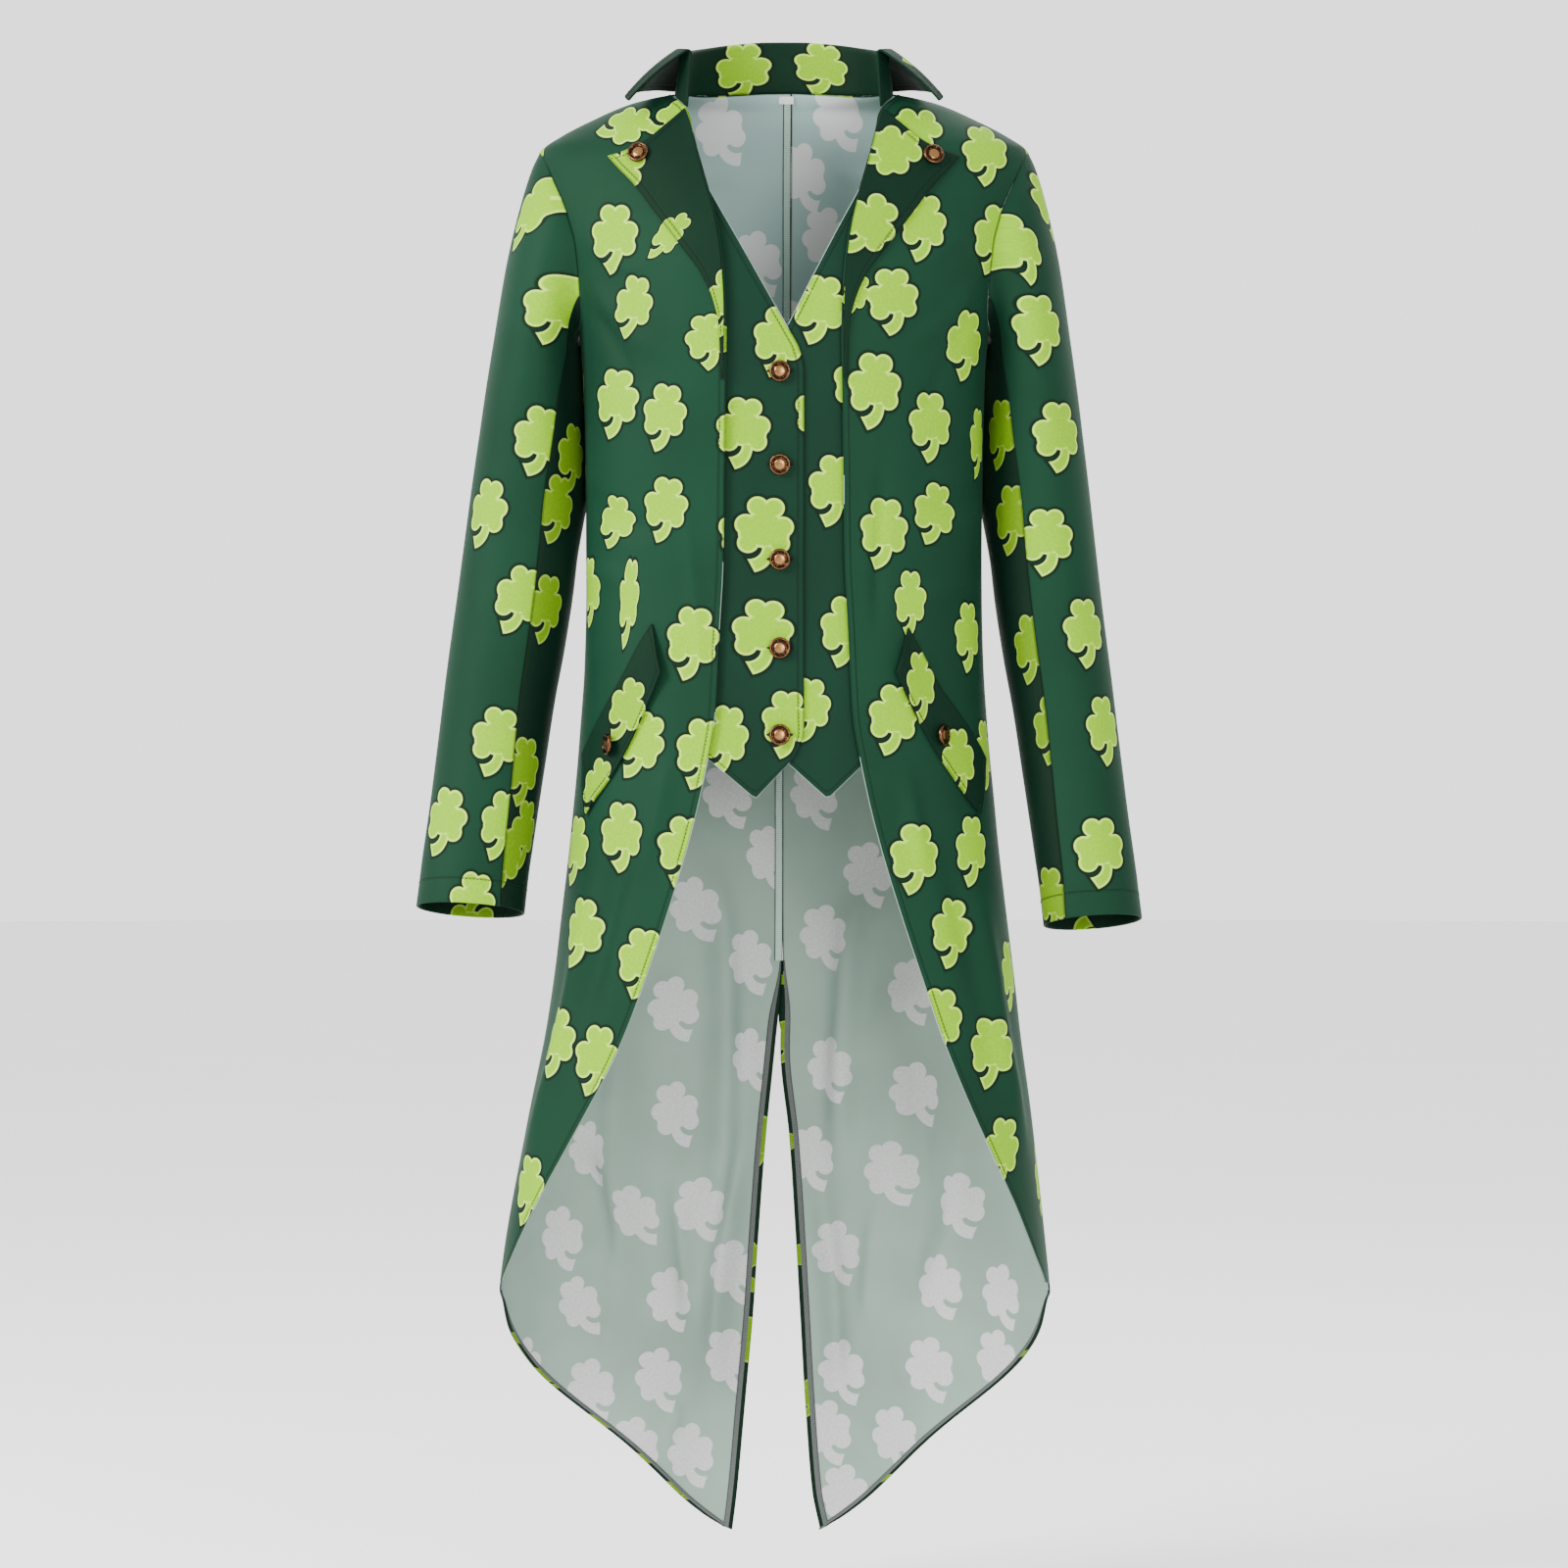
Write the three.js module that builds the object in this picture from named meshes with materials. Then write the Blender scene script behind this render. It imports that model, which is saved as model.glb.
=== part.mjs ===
// Tailcoat costume with an attached waistcoat front, filled out and hollow, held up by its wearer.
// Millimetres, +Z up, the front faces -Y, +X is the wearer's left.
// The origin is midway between the two points where the shoulder seams meet the collar.

import * as THREE from "three";

// Cloth and seams
const CLOTH_WALL = 1.6;
const VEST_WALL = 1.4;
const LAPEL_WALL = 2.0;
const FLAP_WALL = 2.0;
const COLLAR_WALL = 1.9;
const SEAM_GAP = 0.3;
const LAPEL_LIFT = 0.8;
const FLAP_LIFT = 0.7;

// Vest front
const VEST_DEPTH_CENTRE = 7.0;
const VEST_DEPTH_SIDE = 3.3;
const VEST_UNDERLAP_DROP = 2.1;
const VEST_BUTTON_X = -3.4;
const VEST_BUTTON_Z = [-241, -317, -394, -466, -537];

// Buttons
const BUTTON_DIAMETER = 17.5;
const BUTTON_HEIGHT = 3.6;
const BUTTON_SHANK = 1.0;
const BUTTON_SIDES = 16;

// Collar
const FOLD_RADIUS = 1.6;

// How the two sleeves differ: the right one stands out more, the left one hangs lower
const SLEEVE_SWING = 4;
const SLEEVE_DROP = 5;

// Side seam, from the underarm down to where the cutaway edge meets it
const SIDE_SEAM_Z = [
  -204, -250, -300, -352, -405, -460, -515, -570, -625, -680, -735, -790, -845, -895, -940, -972, -995.5,
];

// Shoulder seam: how far along it each column of points stands
const SHOULDER_STOPS = [0, 0.09, 0.19, 0.29, 0.39, 0.49, 0.59, 0.69, 0.79, 0.9, 1];

// Round the armhole from the shoulder point, in degrees
const ARMHOLE_STOPS = [0, 18, 38, 60, 84, 110, 135, 158, 180];

// Body form: height, half width, depth in front, depth behind, squareness
const BODY = [
  [12, 62, 40, 60, 2.0],
  [0, 85, 46, 65, 2.0],
  [-5, 112, 49, 68, 2.0],
  [-10, 131, 52, 70, 2.0],
  [-23, 161, 61, 76, 2.0],
  [-36, 186, 70, 82, 2.05],
  [-49, 204, 77, 88, 2.1],
  [-60, 208, 83, 92, 2.1],
  [-85, 207, 94, 101, 2.1],
  [-120, 198, 106, 110, 2.2],
  [-160, 184, 114, 115, 2.3],
  [-204, 171, 118, 114, 2.35],
  [-250, 167.5, 117, 110, 2.35],
  [-310, 166, 111, 103, 2.3],
  [-370, 165.5, 104, 97, 2.25],
  [-420, 165.5, 100, 95, 2.2],
  [-480, 167, 99, 98, 2.2],
  [-540, 171, 99, 105, 2.2],
  [-620, 179, 100, 114, 2.2],
  [-700, 189, 102, 121, 2.2],
  [-780, 200, 105, 127, 2.2],
  [-870, 216, 109, 134, 2.2],
  [-970, 231, 113, 141, 2.2],
  [-1080, 241, 117, 148, 2.2],
  [-1230, 252, 122, 156, 2.2],
];

// Soft folds of the skirt: angle at the waist, angle at the hem, half width in degrees, depth out, starting height
const SKIRT_FOLDS = [
  [-168, -158, 9, 5.0, -640],
  [-141, -137, 11, -6.5, -560],
  [-112, -116, 10, 6.0, -600],
  [-84, -90, 9, -4.0, -520],
  [-62, -66, 8, 3.0, -560],
  [58, 64, 8, 3.5, -600],
  [83, 86, 10, -4.5, -540],
  [116, 112, 9, 5.0, -620],
  [136, 133, 10, -6.0, -580],
  [163, 156, 10, 5.5, -660],
];

// How far the skirt leans to the wearer's right below the waist
const SKIRT_LEAN = 8;

// Front edge of the fronts, from the shoulder down the neck, the front and the cutaway: height, angle
const FRONT_EDGE = [
  [0, 90],
  [-3.5, 76],
  [-18, 58.9],
  [-34.5, 50.2],
  [-62.5, 40.8],
  [-89.7, 33.8],
  [-109, 29.7],
  [-131, 26.1],
  [-166, 23.2],
  [-204, 22.1],
  [-268, 22.9],
  [-334, 24.9],
  [-393, 26.7],
  [-449, 28.8],
  [-505, 30.2],
  [-525, 30.9],
  [-556, 33.4],
  [-603, 37.8],
  [-648, 42.7],
  [-693, 47.7],
  [-738, 52.4],
  [-783, 56.7],
  [-828, 61.5],
  [-874, 67.0],
  [-920, 72.9],
  [-967, 79.1],
  [-990.5, 83.8],
];

// Rows of a front above the underarm: height of its front edge at each armhole stop
const FRONT_EDGE_ROWS = [0, -3.5, -18, -34.5, -62.5, -89.7, -122, -162, -204];

// Armhole in front: angle round the hole, angle on the body, height
const ARMHOLE_FRONT = [
  [0, 90, -50],
  [14, 84.6, -54],
  [37, 79.1, -76],
  [69, 73.9, -107.5],
  [98, 71.9, -134.7],
  [126, 73.0, -164],
  [155, 79.4, -194],
  [180, 90, -204],
];

// Armhole behind: angle round the hole, angle on the body, height
const ARMHOLE_BACK = [
  [0, 90, -50],
  [14, 96.0, -54],
  [37, 101.5, -76],
  [69, 106.5, -107],
  [98, 108.5, -135],
  [126, 107.0, -165],
  [155, 100.0, -194],
  [180, 90, -204],
];

// Hem of a tail behind the side seam, and the height of the centre edge in the same row: angle, height, centre height
const TAIL_HEM = [
  [98, -1012, -1022],
  [103.5, -1038, -1047],
  [110.5, -1064, -1073],
  [118, -1091, -1099],
  [126, -1118, -1125],
  [134.5, -1145, -1150],
  [143.5, -1172, -1174],
  [152.5, -1197, -1197],
  [159.5, -1213, -1213],
  [164, -1221, -1224],
];

// Centre back seam, then the slit: height, edge of the right back, edge of the left back
const CENTRE_BACK = [
  [9, 6.5, 6.5],
  [-204, 5, 5],
  [-400, 2, 2],
  [-560, -1.2, -1.2],
  [-680, -1.4, -1.4],
  [-733, -1.8, -0.8],
  [-805, -8.0, -3.0],
  [-882, -15.7, 4.7],
  [-959, -21.6, 9.7],
  [-1035, -26.7, 14],
  [-1112, -33.5, 18.3],
  [-1189, -40.4, 24.2],
  [-1224, -44.6, 31],
];

// Rows of a back above the underarm: height of the centre seam at each armhole stop
const CENTRE_ROWS = [9, -13, -37, -62, -90, -118, -146, -175, -204];

// Neckline behind: angle, height
const NECK_BACK = [
  [180, 9],
  [166, 8.6],
  [150, 7.2],
  [133, 5.2],
  [113, 2.6],
];

// Collar, from the back to its front ends: angle, neck seam height, fold height, lean in, flare, bend, fall, reach ahead
const COLLAR = [
  [180, 9, 52.3, 1.5, 12, 4, 47, 0],
  [166, 8.6, 52, 1.5, 13, 4, 47, 0],
  [150, 7.2, 50.2, 1.6, 17, 6, 46, 0],
  [133, 5.2, 47.2, 2.2, 26, 9, 46, 0],
  [113, 2.6, 42, 3.2, 37, 12, 47, 0],
  [100, 1.2, 38.5, 3.8, 43, 14, 48, 0],
  [90, 0.2, 36.5, 4.2, 46, 16, 51, 1],
  [76, -3.2, 34.3, 4.2, 48.5, 17, 56, 4],
  [66, -10, 32.4, 3.6, 50, 18, 60, 7],
  [59.5, -17, 30.8, 3.0, 51, 18, 63, 9],
];

// Lapel: the roll edge, then the outer edge, as x and height
const LAPEL = [
  [81.2, -19.5, 145, -60.5],
  [77.4, -31, 136, -71],
  [72.0, -53, 122.2, -86],
  [66.0, -78, 105, -110],
  [60.3, -98, 85, -137],
  [54.9, -122, 67.2, -161.5],
  [51.0, -152, 58.2, -182],
  [48.9, -188, 53.3, -203],
  [48.8, -222, 51.6, -229],
  [49.0, -246, 51.0, -249],
];

// Bow of the top edge of the lapel below its straight line: share of the way, drop
const LAPEL_TOP_BOW = [
  [0, 0],
  [0.22, 4.5],
  [0.5, 8.5],
  [0.8, 5.0],
  [1, 0],
];

// Right vest front, on top: centre edge x and height, line down to its point, hidden outer edge
const VEST_RIGHT = [
  [-99, -22, -108, -25, -117, -29],
  [-80, -55, -98, -63, -118, -71],
  [-63, -86, -87, -98, -118, -112],
  [-43, -122, -73, -134, -118, -151],
  [-22, -160, -58, -171, -118, -189],
  [2.8, -204.4, -42, -213, -118, -228],
  [13, -224, -36, -234, -118, -252],
  [16.4, -242, -32, -256, -118, -275],
  [16.4, -295, -28, -302, -118, -312],
  [16.4, -350, -26, -353, -118, -350],
  [16.4, -405, -25, -405, -118, -388],
  [16.4, -460, -24, -460, -118, -428],
  [16.4, -505, -24, -510, -118, -464],
  [16.4, -532, -23.7, -550, -118, -490],
  [10.8, -550, -23.7, -573, -118, -502],
  [4.4, -559.6, -23.7, -589.3, -118, -511],
];

// Left vest front, under: hidden edge of the underlap x and height, line down to its point, hidden outer edge
const VEST_LEFT = [
  [99, -22, 108, -25, 117, -29],
  [80, -55, 98, -63, 118, -71],
  [62, -88, 87, -98, 118, -112],
  [42, -126, 73, -137, 118, -151],
  [21, -167, 60, -175, 118, -189],
  [1.5, -206, 48, -214, 118, -228],
  [-10, -230, 43, -238, 118, -252],
  [-15, -252, 40, -261, 118, -275],
  [-16, -300, 38, -305, 118, -312],
  [-16, -350, 37, -353, 118, -350],
  [-16, -405, 36.5, -405, 118, -388],
  [-16, -460, 36.5, -460, 118, -428],
  [-16, -500, 36.5, -510, 118, -464],
  [-16, -522, 36.5, -550, 118, -490],
  [-16, -534, 36.5, -573, 118, -502],
  [-16, -543, 36.5, -589.3, 118, -511],
];

// Sleeve rings: outermost x and height, innermost x and height, middle y, half depth, lift of the front, share of ring
const SLEEVE = [
  [203, -51, 173.4, -203, 2, 59, 0, 0],
  [214, -70, 174.0, -208, 1, 60, 0, 0.45],
  [224, -106, 173.9, -214, 1, 60, 0, 0.85],
  [232.5, -150, 173.2, -223, 2, 59, 0, 1],
  [240.5, -200, 172.2, -238, 3, 58, 0, 1],
  [249, -257, 171.2, -272, 5, 56, 1, 1],
  [256, -310, 170.6, -318, 7, 54, 1, 1],
  [262.5, -360, 171.2, -365, 8, 52, 1, 1],
  [268.5, -408, 175.5, -412, 8, 50, 2, 1],
  [274.5, -456, 182.5, -461, 5, 48, 3, 1],
  [280.5, -505, 191, -510, 0, 45, 4, 1],
  [286, -555, 198.5, -560, -7, 42, 5, 1],
  [291.8, -605, 205.5, -610, -16, 40, 6, 1],
  [298, -652, 212, -657, -25, 38, 6.5, 1],
  [301.5, -684, 215.5, -690, -31, 37, 7, 1],
];

// Sleeve seams: ring number, angle of the front seam, angle of the back seam
const SLEEVE_SEAMS = [
  [0, 135, 110],
  [3, 140, 116],
  [5, 125, 122],
  [7, 112, 126],
  [10, 115, 128],
  [12, 121, 128],
  [14, 127, 128],
];

// Pocket flap, from its front end to its back end: attached edge angle and height, free edge angle and height, lift
const FLAP_RIGHT = [
  [53.6, -445, 49.6, -486, 6.0],
  [58.0, -462, 53.3, -506, 2.6],
  [64.0, -490, 60.5, -546, 0.6],
  [70.0, -515, 66.5, -574, 0.4],
  [76.0, -538, 71.5, -592, 1.2],
  [80.0, -553, 74.5, -604, 2.0],
];
const FLAP_LEFT = [
  [51.0, -448, 46.0, -486, 6.0],
  [55.5, -468, 50.0, -507, 2.6],
  [62.0, -498, 57.5, -543, 0.6],
  [68.5, -520, 63.8, -569, 0.4],
  [75.0, -541, 69.5, -591, 1.2],
  [79.5, -556, 73.5, -603, 2.0],
];

// Small helpers
const rad = (degrees) => (degrees * Math.PI) / 180;
const mix = (a, b, share) => a + (b - a) * share;
const smooth = (t) => {
  const s = Math.min(1, Math.max(0, t));
  return s * s * (3 - 2 * s);
};
const vec = (x, y, z) => new THREE.Vector3(x, y, z);

// Smooth run through the rows of a table: the value of a column at a place in the first column
function along(table, at, column) {
  const down = table[0][0] > table[table.length - 1][0];
  const key = (i) => (down ? -table[i][0] : table[i][0]);
  const t = Math.min(key(table.length - 1), Math.max(key(0), down ? -at : at));
  let i = 0;
  while (i < table.length - 2 && key(i + 1) < t) i++;
  const slope = (j) => (table[j + 1][column] - table[j][column]) / (key(j + 1) - key(j));
  const tangent = (j) => {
    if (j === 0) return slope(0);
    if (j === table.length - 1) return slope(j - 1);
    const a = slope(j - 1);
    const b = slope(j);
    return a * b <= 0 ? 0 : (2 * a * b) / (a + b);
  };
  const h = key(i + 1) - key(i);
  const s = (t - key(i)) / h;
  const p0 = table[i][column];
  const p1 = table[i + 1][column];
  return (
    p0 * (1 + 2 * s) * (1 - s) ** 2 +
    tangent(i) * h * s * (1 - s) ** 2 +
    p1 * s * s * (3 - 2 * s) +
    tangent(i + 1) * h * s * s * (s - 1)
  );
}

// Sideways lean of the skirt at a height
function leanAt(z) {
  return -SKIRT_LEAN * smooth((-z - 720) / 290);
}

// Body form with its folds: the point at an angle from the front and a height
function bodyPoint(angle, z) {
  const wrapped = ((((angle + 180) % 360) + 360) % 360) - 180;
  const a = along(BODY, z, 1);
  const b = along(BODY, z, Math.abs(wrapped) < 90 ? 2 : 3);
  const n = along(BODY, z, 4);
  const s = Math.abs(Math.sin(rad(wrapped))) / a;
  const c = Math.abs(Math.cos(rad(wrapped))) / b;
  let radius = (s ** n + c ** n) ** (-1 / n);
  for (const [waist, hem, wide, deep, start] of SKIRT_FOLDS) {
    const share = smooth((start - z) / 420);
    const centre = mix(waist, hem, smooth((start - z) / 600));
    radius += deep * share * Math.exp(-(((wrapped - centre) / wide) ** 2));
  }
  return vec(radius * Math.sin(rad(wrapped)) + leanAt(z), -radius * Math.cos(rad(wrapped)), z);
}

// Way out of the cloth at a place on the body form
function bodyNormal(angle, z) {
  const round = bodyPoint(angle + 0.4, z).sub(bodyPoint(angle - 0.4, z));
  const up = bodyPoint(angle, z + 1.2).sub(bodyPoint(angle, z - 1.2));
  return round.cross(up).normalize();
}

// A point of a piece that lies a set distance out of the body form, with its way out
function onBody(angle, z, out = 0) {
  const normal = bodyNormal(angle, z);
  return { point: bodyPoint(angle, z).addScaledVector(normal, out), normal };
}

// The angle at which the front of the form has a given x
function angleOfX(x, z) {
  let low = 0;
  let high = 89;
  for (let i = 0; i < 40; i++) {
    const middle = (low + high) / 2;
    if (bodyPoint(Math.sign(x || 1) * middle, z).x * Math.sign(x || 1) < Math.abs(x)) low = middle;
    else high = middle;
  }
  return (Math.sign(x || 1) * (low + high)) / 2;
}

// The angle at which the back of the form has a given x, counted from its own middle
function backAngleOfX(x, z) {
  const reach = along(BODY, z, 3);
  return 180 - (Math.atan2(x, reach) * 180) / Math.PI;
}

// A cloth piece: rows of points on its outer face, closed to a wall that goes inwards
function clothPiece(name, rows, wall, colour) {
  const count = rows.length;
  const wide = rows[0].length;
  const outer = rows.map((row) => row.map((cell) => cell.point.clone()));
  const half = SEAM_GAP / 2;
  for (let i = 0; i < count; i++) {
    for (const [edge, next] of [[0, 1], [wide - 1, wide - 2]]) {
      const away = rows[i][next].point.clone().sub(rows[i][edge].point).normalize();
      outer[i][edge].addScaledVector(away, half);
    }
  }
  for (let j = 0; j < wide; j++) {
    for (const [edge, next] of [[0, 1], [count - 1, count - 2]]) {
      const away = rows[next][j].point.clone().sub(rows[edge][j].point).normalize();
      outer[edge][j].addScaledVector(away, half);
    }
  }
  const points = [];
  for (let i = 0; i < count; i++) for (let j = 0; j < wide; j++) points.push(outer[i][j]);
  for (let i = 0; i < count; i++) {
    for (let j = 0; j < wide; j++) {
      points.push(outer[i][j].clone().addScaledVector(rows[i][j].normal, -wall));
    }
  }
  const faces = [];
  const inner = count * wide;
  const quad = (a, b, c, d) => faces.push([a, b, c], [a, c, d]);
  for (let i = 0; i < count - 1; i++) {
    for (let j = 0; j < wide - 1; j++) {
      const a = i * wide + j;
      quad(a, a + 1, a + wide + 1, a + wide);
      quad(inner + a, inner + a + wide, inner + a + wide + 1, inner + a + 1);
    }
  }
  for (let i = 0; i < count - 1; i++) {
    const a = i * wide;
    const b = a + wide - 1;
    quad(a, a + wide, inner + a + wide, inner + a);
    quad(b, inner + b, inner + b + wide, b + wide);
  }
  for (let j = 0; j < wide - 1; j++) {
    const b = (count - 1) * wide + j;
    quad(j, inner + j, inner + j + 1, j + 1);
    quad(b, b + 1, inner + b + 1, inner + b);
  }
  return solidMesh(name, points, faces, colour);
}

// A mesh from points and faces, turned so that its faces look outwards
function solidMesh(name, points, faces, colour) {
  let volume = 0;
  for (const [a, b, c] of faces) volume += points[a].dot(points[b].clone().cross(points[c]));
  const index = faces.flatMap(([a, b, c]) => (volume < 0 ? [a, c, b] : [a, b, c]));
  const geometry = new THREE.BufferGeometry();
  geometry.setAttribute(
    "position",
    new THREE.Float32BufferAttribute(points.flatMap((p) => [p.x, p.y, p.z]), 3),
  );
  geometry.setIndex(index);
  geometry.computeVertexNormals();
  const mesh = new THREE.Mesh(geometry, new THREE.MeshStandardMaterial({ color: colour, roughness: 0.8 }));
  mesh.name = name;
  return mesh;
}

// Armhole seam: the place on the body form at an angle round the hole, front 0 to 180, back 0 to -180
function armholePlace(round) {
  const table = round >= 0 ? ARMHOLE_FRONT : ARMHOLE_BACK;
  return [along(table, Math.abs(round), 1), along(table, Math.abs(round), 2)];
}

// A front, from the shoulder seam down to the cutaway
function frontPiece(name, side, colour) {
  const ends = ARMHOLE_STOPS.map((stop, i) => {
    const [angle, z] = armholePlace(stop);
    return [FRONT_EDGE_ROWS[i], angle, z];
  });
  for (const z of SIDE_SEAM_Z.slice(1)) ends.push([Math.max(z, -990.5), 90, z]);
  const rows = ends.map(([edgeZ, seamAngle, seamZ]) =>
    SHOULDER_STOPS.map((share) => {
      const edgeAngle = along(FRONT_EDGE, edgeZ, 1);
      return onBody(side * mix(edgeAngle, seamAngle, share), mix(edgeZ, seamZ, share));
    }),
  );
  return clothPiece(name, rows, CLOTH_WALL, colour);
}

// A back, from the neck and shoulder seam down to the point of its tail
function backPiece(name, side, colour) {
  const edgeColumn = side < 0 ? 1 : 2;
  const ends = ARMHOLE_STOPS.map((stop, i) => {
    const [angle, z] = armholePlace(-stop);
    return [CENTRE_ROWS[i], angle, z];
  });
  for (const z of SIDE_SEAM_Z.slice(1)) ends.push([z > -960 ? z : mix(z, z - 6, 0.8), 90, z]);
  for (const [angle, z, centre] of TAIL_HEM) ends.push([centre, angle, z]);
  const nape = backAngleOfX(side * CENTRE_BACK[0][edgeColumn], CENTRE_BACK[0][0]);
  const top = [[nape, 9], ...NECK_BACK.slice(1)];
  for (const share of SHOULDER_STOPS) top.push([90, mix(0, -50, share)]);
  const last = top.length - 1;
  const rows = ends.map(([centreZ, seamAngle, seamZ], i) => {
    const keep = 1 - smooth(i / 7);
    const centreX = along(CENTRE_BACK, centreZ, edgeColumn) - leanAt(centreZ);
    const centreAngle = backAngleOfX(side * centreX, centreZ);
    return top.map(([angle, z], j) => {
      const share = j / last;
      const bentAngle = angle - mix(nape, 90, share);
      const bentZ = z - mix(9, -50, share);
      return onBody(
        side * (mix(centreAngle, seamAngle, share) + keep * bentAngle),
        mix(centreZ, seamZ, share) + keep * bentZ,
      );
    });
  });
  return clothPiece(name, rows, CLOTH_WALL, colour);
}

// Sleeve form: the point of the outer face at a ring number and an angle round the ring
function sleevePoint(side, ring, round) {
  const at = (column) => along(SLEEVE.map((row, i) => [i, ...row]), ring, column + 1);
  const turned = ((((round + 180) % 360) + 360) % 360) - 180;
  const [angle, z] = armholePlace(turned);
  const hole = bodyPoint(side * angle, z);
  const low = smooth((Math.abs(turned) - 90) / 60);
  hole.x += side * mix(0.75, 2.4, low);
  hole.z += 0.6 * low;
  const outX = at(0) - side * SLEEVE_SWING * smooth(ring / 10);
  const drop = side * SLEEVE_DROP * smooth(ring / 14);
  const middle = vec(side * (outX + at(2)) * 0.5, at(4), (at(1) + at(3)) * 0.5 - drop);
  const across = vec(side * (outX - at(2)) * 0.5, 0, (at(1) - at(3)) * 0.5);
  const deep = vec(0, -at(5), at(6));
  const ringPoint = middle
    .addScaledVector(across, Math.cos(rad(turned)))
    .addScaledVector(deep, Math.sin(rad(turned)));
  return hole.lerp(ringPoint, at(7));
}

// A sleeve piece between two of its seams
function sleevePiece(name, side, stops, colour) {
  const rows = SLEEVE.map((row, i) =>
    stops(i).map((round) => {
      const ring = Math.min(Math.max(i, 0.02), SLEEVE.length - 1.02);
      const down = sleevePoint(side, ring + 0.02, round).sub(sleevePoint(side, ring - 0.02, round));
      const turn = sleevePoint(side, ring, round + 1).sub(sleevePoint(side, ring, round - 1));
      const normal = turn.cross(down).normalize().multiplyScalar(-side);
      return { point: sleevePoint(side, i, round), normal };
    }),
  );
  return clothPiece(name, rows, CLOTH_WALL, colour);
}

// Where the columns of the two sleeve pieces stand in a ring
function upperStops(ring) {
  const front = along(SLEEVE_SEAMS, ring, 1);
  const back = along(SLEEVE_SEAMS, ring, 2);
  const first = [...ARMHOLE_STOPS.filter((s) => s > 0 && s <= 110).map((s) => -s).reverse()];
  const all = [...first, ...ARMHOLE_STOPS.filter((s) => s <= 135)];
  return all.map((s) => mix(-back, front, (s + 110) / 245));
}
function underStops(ring) {
  const front = along(SLEEVE_SEAMS, ring, 1);
  const back = along(SLEEVE_SEAMS, ring, 2);
  return [135, 158, 180, 202, 225, 250].map((s) => mix(front, 360 - back, (s - 135) / 115));
}

// A vest front from its table of sections, sunk behind the fronts
function vestPiece(name, table, under, colour) {
  const shares = [0, 0.25, 0.5, 0.75, 1, 1.2, 1.4, 1.6, 1.8, 2];
  const rows = table.map((row) =>
    shares.map((share) => {
      const near = share <= 1 ? 0 : 2;
      const part = share <= 1 ? share : share - 1;
      const x = mix(row[near], row[near + 2], part);
      const z = mix(row[near + 1], row[near + 3], part);
      let depth = mix(VEST_DEPTH_CENTRE, VEST_DEPTH_SIDE, smooth(Math.abs(x) / 112));
      depth = mix(VEST_DEPTH_SIDE, depth, smooth((-z - 30) / 110));
      if (under) depth += VEST_UNDERLAP_DROP * (1 - smooth((x - 22) / 24)) * smooth((-z - 120) / 60);
      return onBody(angleOfX(x, z), z, -depth);
    }),
  );
  return clothPiece(name, rows, VEST_WALL, colour);
}

// A lapel, lying on the front and turned back from its roll edge
function lapelPiece(name, side, colour) {
  const shares = [0, 0.2, 0.4, 0.6, 0.8, 1];
  const rows = LAPEL.map((row, i) =>
    shares.map((share) => {
      const x = mix(row[0], row[2], share);
      const bow = along(LAPEL_TOP_BOW, share, 1) * (1 - smooth(i / 4));
      const z = mix(row[1], row[3], share) - bow;
      return onBody(side * angleOfX(x, z), z, LAPEL_LIFT + LAPEL_WALL);
    }),
  );
  return clothPiece(name, rows, LAPEL_WALL, colour);
}

// A pocket flap, lying on a front across the hip
function flapPiece(name, side, table, colour) {
  const rows = table.map(([topAngle, topZ, freeAngle, freeZ, lift]) =>
    [0, 0.25, 0.5, 0.75, 1].map((share) =>
      onBody(
        side * mix(topAngle, freeAngle, share),
        mix(topZ, freeZ, share),
        FLAP_LIFT + FLAP_WALL + lift * smooth(share * 1.3),
      ),
    ),
  );
  return clothPiece(name, rows, FLAP_WALL, colour);
}

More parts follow.
